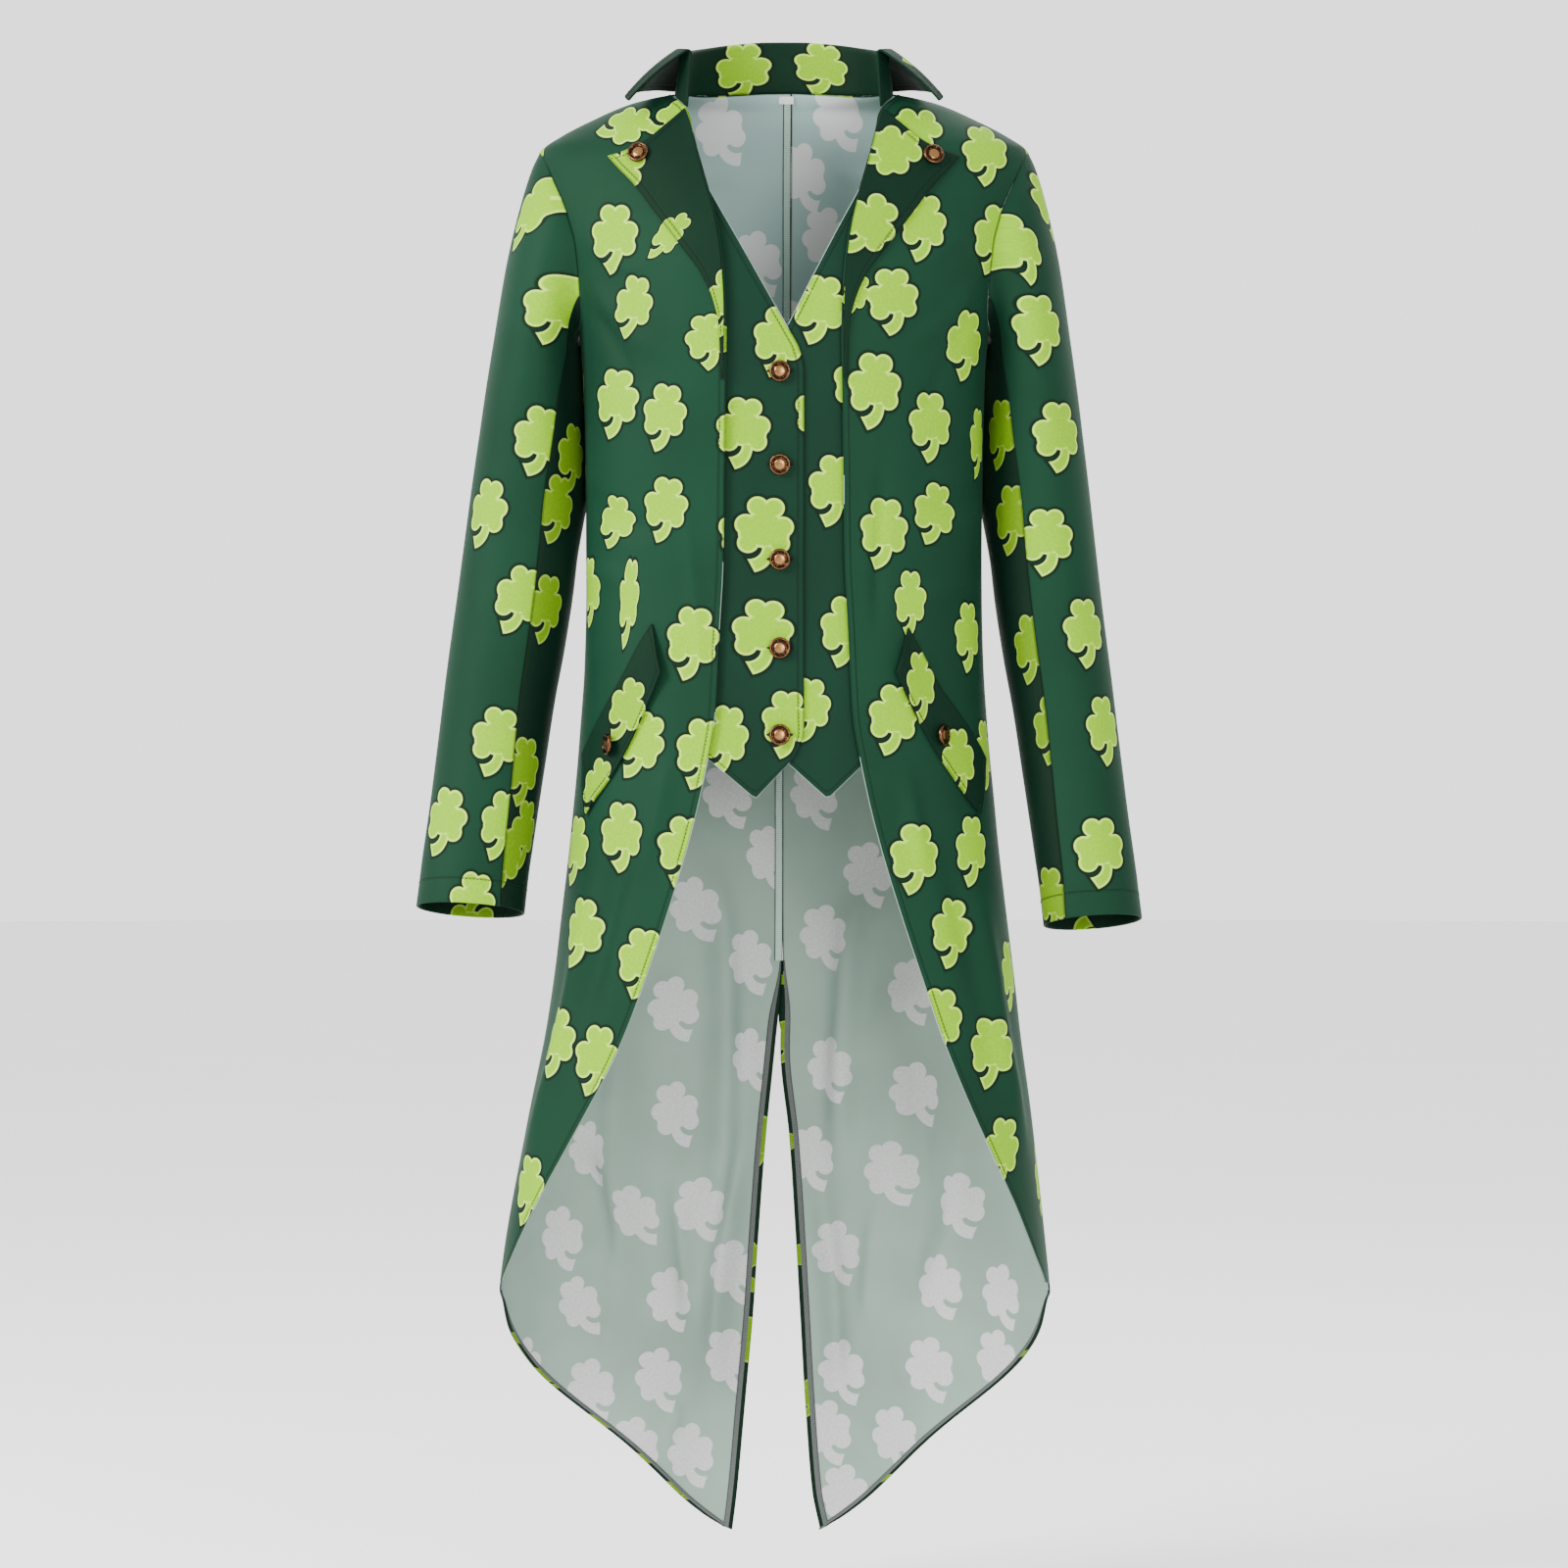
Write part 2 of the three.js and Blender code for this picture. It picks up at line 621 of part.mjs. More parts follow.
// The turned-down collar: a stand on the neck seam, a fold, and a fall that flares to a point at each side
function collarPiece(name, colour) {
  const places = [...[...COLLAR].reverse().map(([angle, ...rest]) => [-angle, ...rest]), ...COLLAR.slice(1)];
  const rows = places.map(([angle, z, foldZ, lean, flareAngle, bendAngle, fall, ahead]) => {
    const turn = Math.abs(angle);
    const base = bodyPoint(angle, z);
    base.z += 0.7;
    const stand = foldZ - COLLAR_WALL - base.z;
    const outwards = bodyNormal(angle, z).setZ(0).normalize();
    outwards.lerp(vec(Math.sign(angle), 0, 0), smooth((96 - turn) / 36)).normalize();
    const at = (out, up) => base.clone().addScaledVector(outwards, out).add(vec(0, 0, up));
    const flare = rad(flareAngle);
    const bend = rad(bendAngle);
    const line = [0, 0.34, 0.68, 1].map((share) => at(-lean * share, (stand - FOLD_RADIUS) * share));
    const top = at(-lean, stand - FOLD_RADIUS);
    const centre = top.clone().addScaledVector(outwards, FOLD_RADIUS);
    for (const share of [0.25, 0.5, 0.75, 1]) {
      const sweep = (Math.PI - flare) * share;
      line.push(
        centre
          .clone()
          .addScaledVector(outwards, -Math.cos(sweep) * FOLD_RADIUS)
          .add(vec(0, 0, Math.sin(sweep) * FOLD_RADIUS)),
      );
    }
    let point = line[line.length - 1].clone();
    const steps = 5;
    for (let i = 0; i < steps; i++) {
      const slope = flare - bend * ((i + 0.5) / steps - 0.35);
      point = point
        .clone()
        .addScaledVector(outwards, (Math.sin(slope) * fall) / steps)
        .add(vec(0, -ahead / steps, (-Math.cos(slope) * fall) / steps));
      line.push(point);
    }
    return line;
  });
  const cells = rows.map((line, i) =>
    line.map((point, j) => {
      const before = rows[Math.max(i - 1, 0)][j];
      const after = rows[Math.min(i + 1, rows.length - 1)][j];
      const low = line[Math.max(j - 1, 0)];
      const high = line[Math.min(j + 1, line.length - 1)];
      const normal = after.clone().sub(before).cross(high.clone().sub(low)).normalize().negate();
      return { point, normal };
    }),
  );
  return clothPiece(name, cells, COLLAR_WALL, colour);
}

// A shank button, turned from its profile: radius and height above the cloth
function buttonPiece(name, place, colour) {
  const r = BUTTON_DIAMETER / 2;
  const h = BUTTON_SHANK;
  const profile = [
    [0, 0],
    [2.4, 0],
    [2.6, h],
    [r - 0.9, h + 0.1],
    [r, h + 1.0],
    [r - 0.4, h + BUTTON_HEIGHT - 0.4],
    [r - 1.5, h + BUTTON_HEIGHT - 0.2],
    [r - 2.4, h + BUTTON_HEIGHT - 1.1],
    [r * 0.35, h + BUTTON_HEIGHT - 0.5],
    [0, h + BUTTON_HEIGHT - 0.3],
  ];
  const geometry = new THREE.LatheGeometry(
    profile.map(([x, y]) => new THREE.Vector2(x, y)),
    BUTTON_SIDES,
  );
  const turn = new THREE.Quaternion().setFromUnitVectors(vec(0, 1, 0), place.normal);
  geometry.applyQuaternion(turn);
  geometry.translate(place.point.x, place.point.y, place.point.z);
  const mesh = new THREE.Mesh(geometry, new THREE.MeshStandardMaterial({ color: colour, metalness: 0.7 }));
  mesh.name = name;
  return mesh;
}

// The small blank label at the back of the neck
function labelPiece(name, colour) {
  const rows = [7.0, 4.0, 1.0].map((z) =>
    [-4.5, 2, 8.5].map((x) => {
      const { normal } = onBody(backAngleOfX(x, z), z);
      return onBody(backAngleOfX(x, z), z, -CLOTH_WALL - 0.6 - 0.02 * normal.x);
    }),
  );
  return clothPiece(name, rows, 0.8, colour);
}

// The costume
const costume = new THREE.Group();
costume.name = "leprechaun_tailcoat";
const GREEN = 0x1f5a3d;
const GREEN_DARK = 0x1c4e36;
const GREEN_VEST = 0x234f3c;
const BRASS = 0x8a6236;

const pieces = [
  frontPiece("front_right", -1, GREEN),
  frontPiece("front_left", 1, GREEN),
  backPiece("back_right", -1, GREEN),
  backPiece("back_left", 1, GREEN),
  sleevePiece("sleeve_upper_right", -1, upperStops, GREEN),
  sleevePiece("sleeve_upper_left", 1, upperStops, GREEN),
  sleevePiece("sleeve_under_right", -1, underStops, GREEN_DARK),
  sleevePiece("sleeve_under_left", 1, underStops, GREEN_DARK),
  collarPiece("collar", GREEN_DARK),
  lapelPiece("lapel_right", -1, GREEN_DARK),
  lapelPiece("lapel_left", 1, GREEN_DARK),
  vestPiece("vest_right", VEST_RIGHT, false, GREEN_VEST),
  vestPiece("vest_left", VEST_LEFT, true, GREEN_VEST),
  flapPiece("pocket_flap_right", -1, FLAP_RIGHT, GREEN_DARK),
  flapPiece("pocket_flap_left", 1, FLAP_LEFT, GREEN_DARK),
  labelPiece("neck_label", 0xe8e8e4),
];

// Buttons, each standing on the cloth under it
VEST_BUTTON_Z.forEach((z, i) => {
  const depth = mix(VEST_DEPTH_CENTRE, VEST_DEPTH_SIDE, smooth(Math.abs(VEST_BUTTON_X) / 112));
  const place = onBody(angleOfX(VEST_BUTTON_X, z), z, -depth + 0.35);
  pieces.push(buttonPiece("vest_button_" + (i + 1), place, BRASS));
});
pieces.push(
  buttonPiece("lapel_button_right", onBody(-59.6, -60, LAPEL_LIFT + LAPEL_WALL + 0.35), BRASS),
  buttonPiece("lapel_button_left", onBody(60.3, -61.6, LAPEL_LIFT + LAPEL_WALL + 0.35), BRASS),
  buttonPiece("flap_button_right", onBody(-66.5, -545, FLAP_LIFT + FLAP_WALL + 0.95), BRASS),
  buttonPiece("flap_button_left", onBody(61.1, -537, FLAP_LIFT + FLAP_WALL + 0.95), BRASS),
);

costume.add(...pieces);

export default costume;
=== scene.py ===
"""Dressed model of a printed tailcoat costume with an attached waistcoat front.
Every shape is worked out in millimetres on the same form as the solids, and is put into Blender in metres.
+Z is up, the front faces -Y, +X is the wearer's left, and angles go round the body from the front."""

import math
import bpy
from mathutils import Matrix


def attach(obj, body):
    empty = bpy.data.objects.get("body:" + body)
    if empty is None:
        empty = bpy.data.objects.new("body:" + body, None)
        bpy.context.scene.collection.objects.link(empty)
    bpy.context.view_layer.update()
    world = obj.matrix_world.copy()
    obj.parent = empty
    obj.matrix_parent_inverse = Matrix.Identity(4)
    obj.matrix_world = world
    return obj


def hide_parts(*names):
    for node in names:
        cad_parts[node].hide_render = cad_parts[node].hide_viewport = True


bl_info = {
    "name": "Shamrock tailcoat",
    "version": (1, 0, 0),
    "blender": (4, 5, 0),
    "location": "View3D > Sidebar > Tailcoat",
    "description": "Builds the cloth, sewing and buttons of a printed tailcoat costume",
    "category": "Object",
}

from types import SimpleNamespace

import bmesh
import bpy
import numpy as np
from bpy.props import FloatProperty, FloatVectorProperty, PointerProperty
from bpy.types import Operator, Panel, PropertyGroup

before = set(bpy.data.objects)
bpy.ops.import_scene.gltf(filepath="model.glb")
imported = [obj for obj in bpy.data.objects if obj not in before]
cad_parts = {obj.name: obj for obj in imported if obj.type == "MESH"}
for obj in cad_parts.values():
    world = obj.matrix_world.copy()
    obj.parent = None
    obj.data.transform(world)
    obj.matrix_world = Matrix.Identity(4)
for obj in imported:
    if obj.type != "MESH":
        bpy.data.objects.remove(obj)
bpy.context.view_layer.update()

MM = 0.001

# The photograph's camera, level with the middle of the picture
CAMERA_DISTANCE = 4200.0
CAMERA_HEIGHT = -577.3
PICTURE_WIDTH = 1312.0
SENSOR_WIDTH = 36.0

# Walls, a little thinner than those of the solids
CLOTH_WALL = 1.4
VEST_WALL = 1.3
LAPEL_WALL = 1.8
FLAP_WALL = 1.8
COLLAR_WALL = 1.8

# Lifts of what lies on the fronts, and how deep the waistcoat front is sunk behind them, as in the solids
LAPEL_LIFT = 0.8
FLAP_LIFT = 0.7
VEST_DEPTH_CENTRE = 7.0
VEST_DEPTH_SIDE = 3.3
VEST_UNDERLAP_DROP = 2.1
VEST_BUTTON_X = -3.4
VEST_BUTTON_Z = [-241, -317, -394, -466, -537]
FOLD_RADIUS = 1.6

# How the two sleeves differ, as in the solids, and how much fuller they are behind the body than the solids
SLEEVE_SWING = 4
SLEEVE_DROP = 5
SLEEVE_FULLNESS = 10

# Way down the left arm, and the angle round it, from which a sleeve's cloth is measured
ARM_AXIS = (0.11, -0.03, -0.993)
ARM_MEASURE_START = 20.0

# Sideways lean of the skirt, as in the solids
SKIRT_LEAN = 8

# A way from the stitched edges that is out of their reach
FAR = 99.0

# Side seam heights, and stops along the shoulder and round the armhole
SIDE_SEAM_Z = [
    -204, -250, -300, -352, -405, -460, -515, -570, -625, -680, -735, -790, -845, -895, -940, -972, -995.5,
]
SHOULDER_STOPS = [0, 0.09, 0.19, 0.29, 0.39, 0.49, 0.59, 0.69, 0.79, 0.9, 1]
ARMHOLE_STOPS = [0, 18, 38, 60, 84, 110, 135, 158, 180]
ARMHOLE_LAST = len(ARMHOLE_STOPS) - 1

# Body form, as in the solids: height, half width, depth in front, depth behind, squareness
BODY = [
    [12, 62, 40, 60, 2.0],
    [0, 85, 46, 65, 2.0],
    [-5, 112, 49, 68, 2.0],
    [-10, 131, 52, 70, 2.0],
    [-23, 161, 61, 76, 2.0],
    [-36, 186, 70, 82, 2.05],
    [-49, 204, 77, 88, 2.1],
    [-60, 208, 83, 92, 2.1],
    [-85, 207, 94, 101, 2.1],
    [-120, 198, 106, 110, 2.2],
    [-160, 184, 114, 115, 2.3],
    [-204, 171, 118, 114, 2.35],
    [-250, 167.5, 117, 110, 2.35],
    [-310, 166, 111, 103, 2.3],
    [-370, 165.5, 104, 97, 2.25],
    [-420, 165.5, 100, 95, 2.2],
    [-480, 167, 99, 98, 2.2],
    [-540, 171, 99, 105, 2.2],
    [-620, 179, 100, 114, 2.2],
    [-700, 189, 102, 121, 2.2],
    [-780, 200, 105, 127, 2.2],
    [-870, 216, 109, 134, 2.2],
    [-970, 231, 113, 141, 2.2],
    [-1080, 241, 117, 148, 2.2],
    [-1230, 252, 122, 156, 2.2],
]

# Soft folds of the skirt: angle at waist, angle at hem, half width in degrees, depth out, starting height
SKIRT_FOLDS = [
    [-168, -158, 9, 5.0, -640],
    [-141, -137, 11, -6.5, -560],
    [-112, -116, 10, 6.0, -600],
    [-84, -90, 9, -4.0, -520],
    [-62, -66, 8, 3.0, -560],
    [58, 64, 8, 3.5, -600],
    [83, 86, 10, -4.5, -540],
    [116, 112, 9, 5.0, -620],
    [136, 133, 10, -6.0, -580],
    [163, 156, 10, 5.5, -660],
]

# Front edge from the shoulder down the neck, the front and the cutaway: height, angle
FRONT_EDGE = [
    [0, 90], [-3.5, 76], [-18, 58.9], [-34.5, 50.2], [-62.5, 40.8], [-89.7, 33.8], [-109, 29.7],
    [-131, 26.1], [-166, 23.2], [-204, 22.1], [-268, 22.9], [-334, 24.9], [-393, 26.7], [-449, 28.8],
    [-505, 30.2], [-525, 30.9], [-556, 33.4], [-603, 37.8], [-648, 42.7], [-693, 47.7], [-738, 52.4],
    [-783, 56.7], [-828, 61.5], [-874, 67.0], [-920, 72.9], [-967, 79.1], [-990.5, 83.8],
]
FRONT_EDGE_ROWS = [0, -3.5, -18, -34.5, -62.5, -89.7, -122, -162, -204]
CUTAWAY_END_Z = -990.5

# Armhole, in front and behind: angle round the hole, angle on the body, height
ARMHOLE_FRONT = [
    [0, 90, -50], [14, 84.6, -54], [37, 79.1, -76], [69, 73.9, -107.5],
    [98, 71.9, -134.7], [126, 73.0, -164], [155, 79.4, -194], [180, 90, -204],
]
ARMHOLE_BACK = [
    [0, 90, -50], [14, 96.0, -54], [37, 101.5, -76], [69, 106.5, -107],
    [98, 108.5, -135], [126, 107.0, -165], [155, 100.0, -194], [180, 90, -204],
]

# Hem of a tail behind the side seam: angle, height, height of the centre edge in the same row
TAIL_HEM = [
    [98, -1012, -1022], [103.5, -1038, -1047], [110.5, -1064, -1073], [118, -1091, -1099],
    [126, -1118, -1125], [134.5, -1145, -1150], [143.5, -1172, -1174], [152.5, -1197, -1197],
    [159.5, -1213, -1213], [164, -1221, -1224],
]

# Centre back seam, then the slit: height, edge of the right back, edge of the left back
CENTRE_BACK = [
    [9, 6.5, 6.5], [-204, 5, 5], [-400, 2, 2], [-560, -1.2, -1.2], [-680, -1.4, -1.4],
    [-733, -1.8, -0.8], [-805, -8.0, -3.0], [-882, -15.7, 4.7], [-959, -21.6, 9.7],
    [-1035, -26.7, 14], [-1112, -33.5, 18.3], [-1189, -40.4, 24.2], [-1224, -44.6, 31],
]
SLIT_TOP_Z = -733
SLIT_OPENS_Z = -787

# Shamrocks on the turned edges of the tails' hems and of the slit: height, length seen along the edge, tilt
HEM_LEAVES = {
    "right": [[-1050, 16, 20], [-1086, 24, 50], [-1128, 20, 10], [-1160, 14, 30], [-1190, 22, 60]],
    "left": [[-1064, 12, 20], [-1180, 12, 40]],
}
SLIT_LEAVES = {
    "right": [[-885, 42, 10], [-985, 27, 60], [-1012, 14, 20], [-1056, 47, 80]],
    "left": [[-742, 14, 0], [-796, 32, 10], [-882, 17, 40], [-983, 21, 70], [-1108, 30, 20]],
}
CENTRE_ROWS = [9, -13, -37, -62, -90, -118, -146, -175, -204]
NECK_BACK = [[180, 9], [166, 8.6], [150, 7.2], [133, 5.2], [113, 2.6]]

# Collar: angle, neck seam height, fold height, lean in, flare, bend, fall, reach ahead
COLLAR = [
    [180, 9, 52.3, 1.5, 12, 4, 45, 0],
    [166, 8.6, 52, 1.5, 13, 4, 45, 0],
    [150, 7.2, 50.2, 1.6, 17, 6, 43, 0],
    [133, 5.2, 47.2, 2.2, 26, 9, 40, 0],
    [113, 2.6, 42, 3.2, 37, 12, 39, 0],
    [100, 1.2, 38.5, 3.8, 43, 14, 40, 0],
    [90, 0.2, 36.5, 4.2, 46, 16, 44, 1],
    [76, -3.2, 34.3, 4.2, 48.5, 17, 53, 4],
    [66, -10, 32.4, 3.6, 50, 18, 60, 7],
    [59.5, -17, 30.8, 3.0, 51, 18, 63, 9],
]

# Lapel: the roll edge, then the outer edge, as x and height
LAPEL = [
    [81.2, -19.5, 145, -60.5],
    [77.4, -31, 136, -71],
    [72.0, -53, 122.2, -86],
    [66.0, -78, 105, -110],
    [60.3, -98, 85, -137],
    [54.9, -122, 67.2, -161.5],
    [51.0, -152, 58.2, -182],
    [48.9, -188, 53.3, -203],
    [48.8, -222, 51.6, -229],
    [49.0, -246, 51.0, -249],
]
LAPEL_TOP_BOW = [[0, 0], [0.22, 4.5], [0.5, 8.5], [0.8, 5.0], [1, 0]]

# Right vest front, on top: centre edge x and height, line down to its point, hidden outer edge
VEST_RIGHT = [
    [-99, -22, -108, -25, -117, -29],
    [-80, -55, -98, -63, -118, -71],
    [-63, -86, -87, -98, -118, -112],
    [-43, -122, -73, -134, -118, -151],
    [-22, -160, -58, -171, -118, -189],
    [2.8, -204.4, -42, -213, -118, -228],
    [13, -224, -36, -234, -118, -252],
    [16.4, -242, -32, -256, -118, -275],
    [16.4, -295, -28, -302, -118, -312],
    [16.4, -350, -26, -353, -118, -350],
    [16.4, -405, -25, -405, -118, -388],
    [16.4, -460, -24, -460, -118, -428],
    [16.4, -505, -24, -510, -118, -464],
    [16.4, -532, -23.7, -550, -118, -490],
    [10.8, -550, -23.7, -573, -118, -502],
    [4.4, -559.6, -23.7, -589.3, -118, -511],
]

# Left vest front, under: hidden edge of the underlap x and height, line down to its point, hidden outer edge
VEST_LEFT = [
    [99, -22, 108, -25, 117, -29],
    [80, -55, 98, -63, 118, -71],
    [62, -88, 87, -98, 118, -112],
    [42, -126, 73, -137, 118, -151],
    [21, -167, 60, -175, 118, -189],
    [1.5, -206, 48, -214, 118, -228],
    [-10, -230, 43, -238, 118, -252],
    [-15, -252, 40, -261, 118, -275],
    [-16, -300, 38, -305, 118, -312],
    [-16, -350, 37, -353, 118, -350],
    [-16, -405, 36.5, -405, 118, -388],
    [-16, -460, 36.5, -460, 118, -428],
    [-16, -500, 36.5, -510, 118, -464],
    [-16, -522, 36.5, -550, 118, -490],
    [-16, -534, 36.5, -573, 118, -502],
    [-16, -543, 36.5, -589.3, 118, -511],
]

# Sleeve rings: outermost x and height, innermost x and height, middle y, half depth, lift of the front,
# share of the ring's own shape against the armhole seam's
SLEEVE = [
    [203, -51, 173.4, -203, 2, 59, 0, 0],
    [214, -70, 174.0, -208, 1, 60, 0, 0.45],
    [224, -106, 173.9, -214, 1, 60, 0, 0.85],
    [232.5, -150, 173.2, -223, 2, 59, 0, 1],
    [240.5, -200, 172.2, -238, 3, 58, 0, 1],
    [249, -257, 171.2, -272, 5, 56, 1, 1],
    [256, -310, 170.6, -318, 7, 54, 1, 1],
    [262.5, -360, 171.2, -365, 8, 52, 1, 1],
    [268.5, -408, 175.5, -412, 8, 50, 2, 1],
    [274.5, -456, 182.5, -461, 5, 48, 3, 1],
    [280.5, -505, 191, -510, 0, 45, 4, 1],
    [286, -555, 198.5, -560, -7, 42, 5, 1],
    [291.8, -605, 205.5, -610, -16, 40, 6, 1],
    [298, -652, 212, -657, -25, 38, 6.5, 1],
    [301.5, -684, 215.5, -690, -31, 37, 7, 1],
]
SLEEVE_SEAMS = [
    [0, 135, 110], [3, 140, 116], [5, 125, 122], [7, 112, 126], [10, 115, 128], [12, 121, 128],
    [14, 127, 128],
]

# Pocket flap, from its front end to its back end: angle and height of the sewn edge, angle and height of the
# free edge, lift
FLAP_RIGHT = [
    [53.6, -445, 49.6, -486, 6.0],
    [58.0, -462, 53.3, -506, 2.6],
    [64.0, -490, 60.5, -546, 0.6],
    [70.0, -515, 66.5, -574, 0.4],
    [76.0, -538, 71.5, -592, 1.2],
    [80.0, -553, 74.5, -604, 2.0],
]
FLAP_LEFT = [
    [51.0, -448, 46.0, -486, 6.0],
    [55.5, -468, 50.0, -507, 2.6],
    [62.0, -498, 57.5, -543, 0.6],
    [68.5, -520, 63.8, -569, 0.4],
    [75.0, -541, 69.5, -591, 1.2],
    [79.5, -556, 73.5, -603, 2.0],
]

# Creases of the body: start angle and height, end angle and height, bow in degrees, half width,
# depth out
BODY_CREASES = [
    [-71, -150, -40, -235, 3, 9, 1.1],
    [-73, -178, -52, -268, -3, 7, -0.9],
    [-69, -126, -48, -160, 2, 6, 0.8],
    [71, -148, 43, -222, -3, 8, 1.0],
    [72, -182, 50, -286, 3, 7, -0.9],
    [66, -122, 50, -150, 0, 6, 0.7],
    [-84, -330, -46, -372, 2, 10, -1.1],
    [-88, -395, -58, -418, -2, 8, 1.0],
    [86, -318, 49, -352, -2, 9, -1.0],
    [87, -408, 52, -428, 2, 8, 1.1],
    [-40, -330, -34, -520, 1, 8, 0.8],
    [38, -300, 40, -470, -1, 8, -0.7],
    [-58, -600, -70, -790, 2, 13, -1.6],
    [-70, -640, -82, -930, -2, 12, 1.7],
    [60, -610, 72, -830, -2, 13, -1.5],
    [72, -660, 80, -900, 2, 11, 1.6],
    [50, -560, 56, -660, 1, 9, 1.0],
    [-47, -545, -55, -650, -1, 9, 1.0],
    [-150, -620, -160, -1010, 3, 16, -2.6],
    [-128, -700, -136, -1090, -3, 15, 2.4],
    [-117, -880, -128, -1000, 2, 11, -1.8],
    [-168, -860, -160, -1120, -1, 12, 2.1],
    [-143, -900, -152, -1060, 2, 9, 1.5],
    [151, -640, 158, -960, -2, 15, -2.4],
    [133, -760, 141, -1080, 2, 16, 2.5],
    [118, -850, 126, -1010, -2, 11, -1.7],
    [166, -900, 161, -1140, 2, 11, 2.0],
    [145, -930, 150, -1050, -1, 9, -1.4],
    [108, -700, 112, -930, 2, 12, 1.6],
    [-106, -720, -110, -900, -2, 12, -1.6],
    [-118, -1030, -124, -1002, 0, 4, 0.45],
    [-125, -1068, -130, -1034, 1, 5, -0.55],
    [-131, -1098, -137, -1062, -1, 5, 0.5],
    [-146, -1150, -150, -1110, 0, 6, -0.5],
    [120, -1050, 126, -1014, 0, 5, 0.5],
    [136, -1108, 141, -1070, 1, 5, -0.5],
    [150, -1160, 153, -1118, 0, 6, 0.45],
    [-112, -760, -168, -900, 5, 30, 1.1],
    [-108, -900, -160, -1060, -4, 28, -1.2],
    [-125, -640, -172, -740, 4, 26, -0.9],
    [112, -740, 168, -850, -5, 30, -1.1],
    [110, -880, 164, -1010, 5, 28, 1.2],
    [128, -1010, 168, -1120, -3, 24, -1.0],
    [130, -600, 172, -690, 4, 26, 0.9],
    [-104, -150, -150, -215, -4, 10, 1.2],
    [-102, -185, -140, -290, 3, 9, -1.0],
    [103, -146, 148, -230, 4, 10, 1.2],
    [104, -182, 136, -300, -3, 8, -1.0],
    [-95, -360, -150, -395, -4, 11, 1.3],
    [94, -372, 146, -352, 4, 11, 1.2],
    [-98, -420, -135, -440, 2, 9, -1.1],
    [97, -432, 138, -450, -2, 9, -1.2],
    [-158, -60, -120, -84, 2, 9, 0.8],
    [160, -52, 124, -88, -2, 9, 0.8],
]

# Cloth in one degree round the body, and how much every crease is deepened
BODY_ARC_PER_DEGREE = 3.0
CREASE_DEPTH = 3.0

# A piece longer than this, in metres, is cut to its way down the cloth times the creases' share
LONG_PIECE = 0.4
CREASE_TAKE_UP = 1.015

# Creases of a sleeve: start ring and angle, end ring and angle, bow in degrees, half width,
# depth out
SLEEVE_CREASES_RIGHT = [
    [0.3, 100, 2.4, 60, 10, 8, -1.4],
    [0.2, 70, 1.8, 30, -6, 8, 1.2],
    [0.2, -40, 2.6, -20, 6, 9, -1.0],
    [2.6, 128, 4.6, 70, 12, 9, 1.5],
    [5.2, 120, 7.0, 45, 12, 9, -1.7],
    [6.4, 112, 8.4, 30, -10, 8, 1.6],
    [7.9, 118, 9.2, 60, 8, 7, -1.2],
    [5.6, -10, 7.6, -60, 8, 9, -1.3],
    [9.6, 60, 12.6, 20, 8, 10, 1.2],
    [10.4, 110, 13.2, 84, -6, 8, -1.0],
    [9.0, -80, 12.8, -100, 8, 9, 1.1],
]
SLEEVE_CREASES_LEFT = [
    [0.2, 104, 2.0, 66, 8, 8, -1.3],
    [0.3, 60, 2.2, 22, -8, 9, 1.3],
    [0.2, -36, 2.2, -14, 4, 8, -0.9],
    [3.0, 126, 5.2, 78, -10, 8, 1.3],
    [4.8, 122, 6.6, 54, 10, 9, -1.6],
    [6.9, 116, 9.1, 40, 12, 9, 1.7],
    [8.2, 110, 9.8, 66, -8, 7, -1.3],
    [6.0, -16, 8.2, -70, -8, 9, -1.2],
    [10.2, 52, 13.0, 30, 6, 9, 1.0],
    [9.8, 114, 12.6, 90, 6, 8, -1.1],
    [9.4, -76, 12.4, -96, -6, 9, 1.0],
]
SLEEVE_ARC_PER_DEGREE = 0.85
SLEEVE_RING_STEP = 49.0

# Stretches of the front edges where the pale raw edge shows, as upper and lower height
PALE_FRONT_EDGE = {
    "right": [[-398, -452], [-522, -536], [-558, -1000]],
    "left": [[-330, -352], [-560, -1000]],
}
PALE_VEST_EDGE = [[0, -207]]

# One shamrock, in millimetres about the middle of its leaflets: lobes as x, y and radius
LEAF_LOBES = [
    [-4.5, 17.0, 7.6], [7.2, 16.6, 7.6], [1.3, 13.5, 7.0], [-12.3, 2.5, 8.0], [-9.8, -11.5, 7.8],
    [-9.5, -4.3, 7.8], [14.3, 2.5, 8.0], [12.8, -10.4, 7.6], [11.5, -4.0, 8.0], [1.2, 0.0, 14.6],
]
STEM_CENTRE = (-9.0, -15.0)
STEM_RADIUS = 14.0
STEM_HALF_TOP = 4.3
STEM_HALF_END = 5.4
STEM_END = (-8.4, -25.5)
STEM_END_WAY = (-0.86, -0.51)
LEAF_NOTCH = 1.0

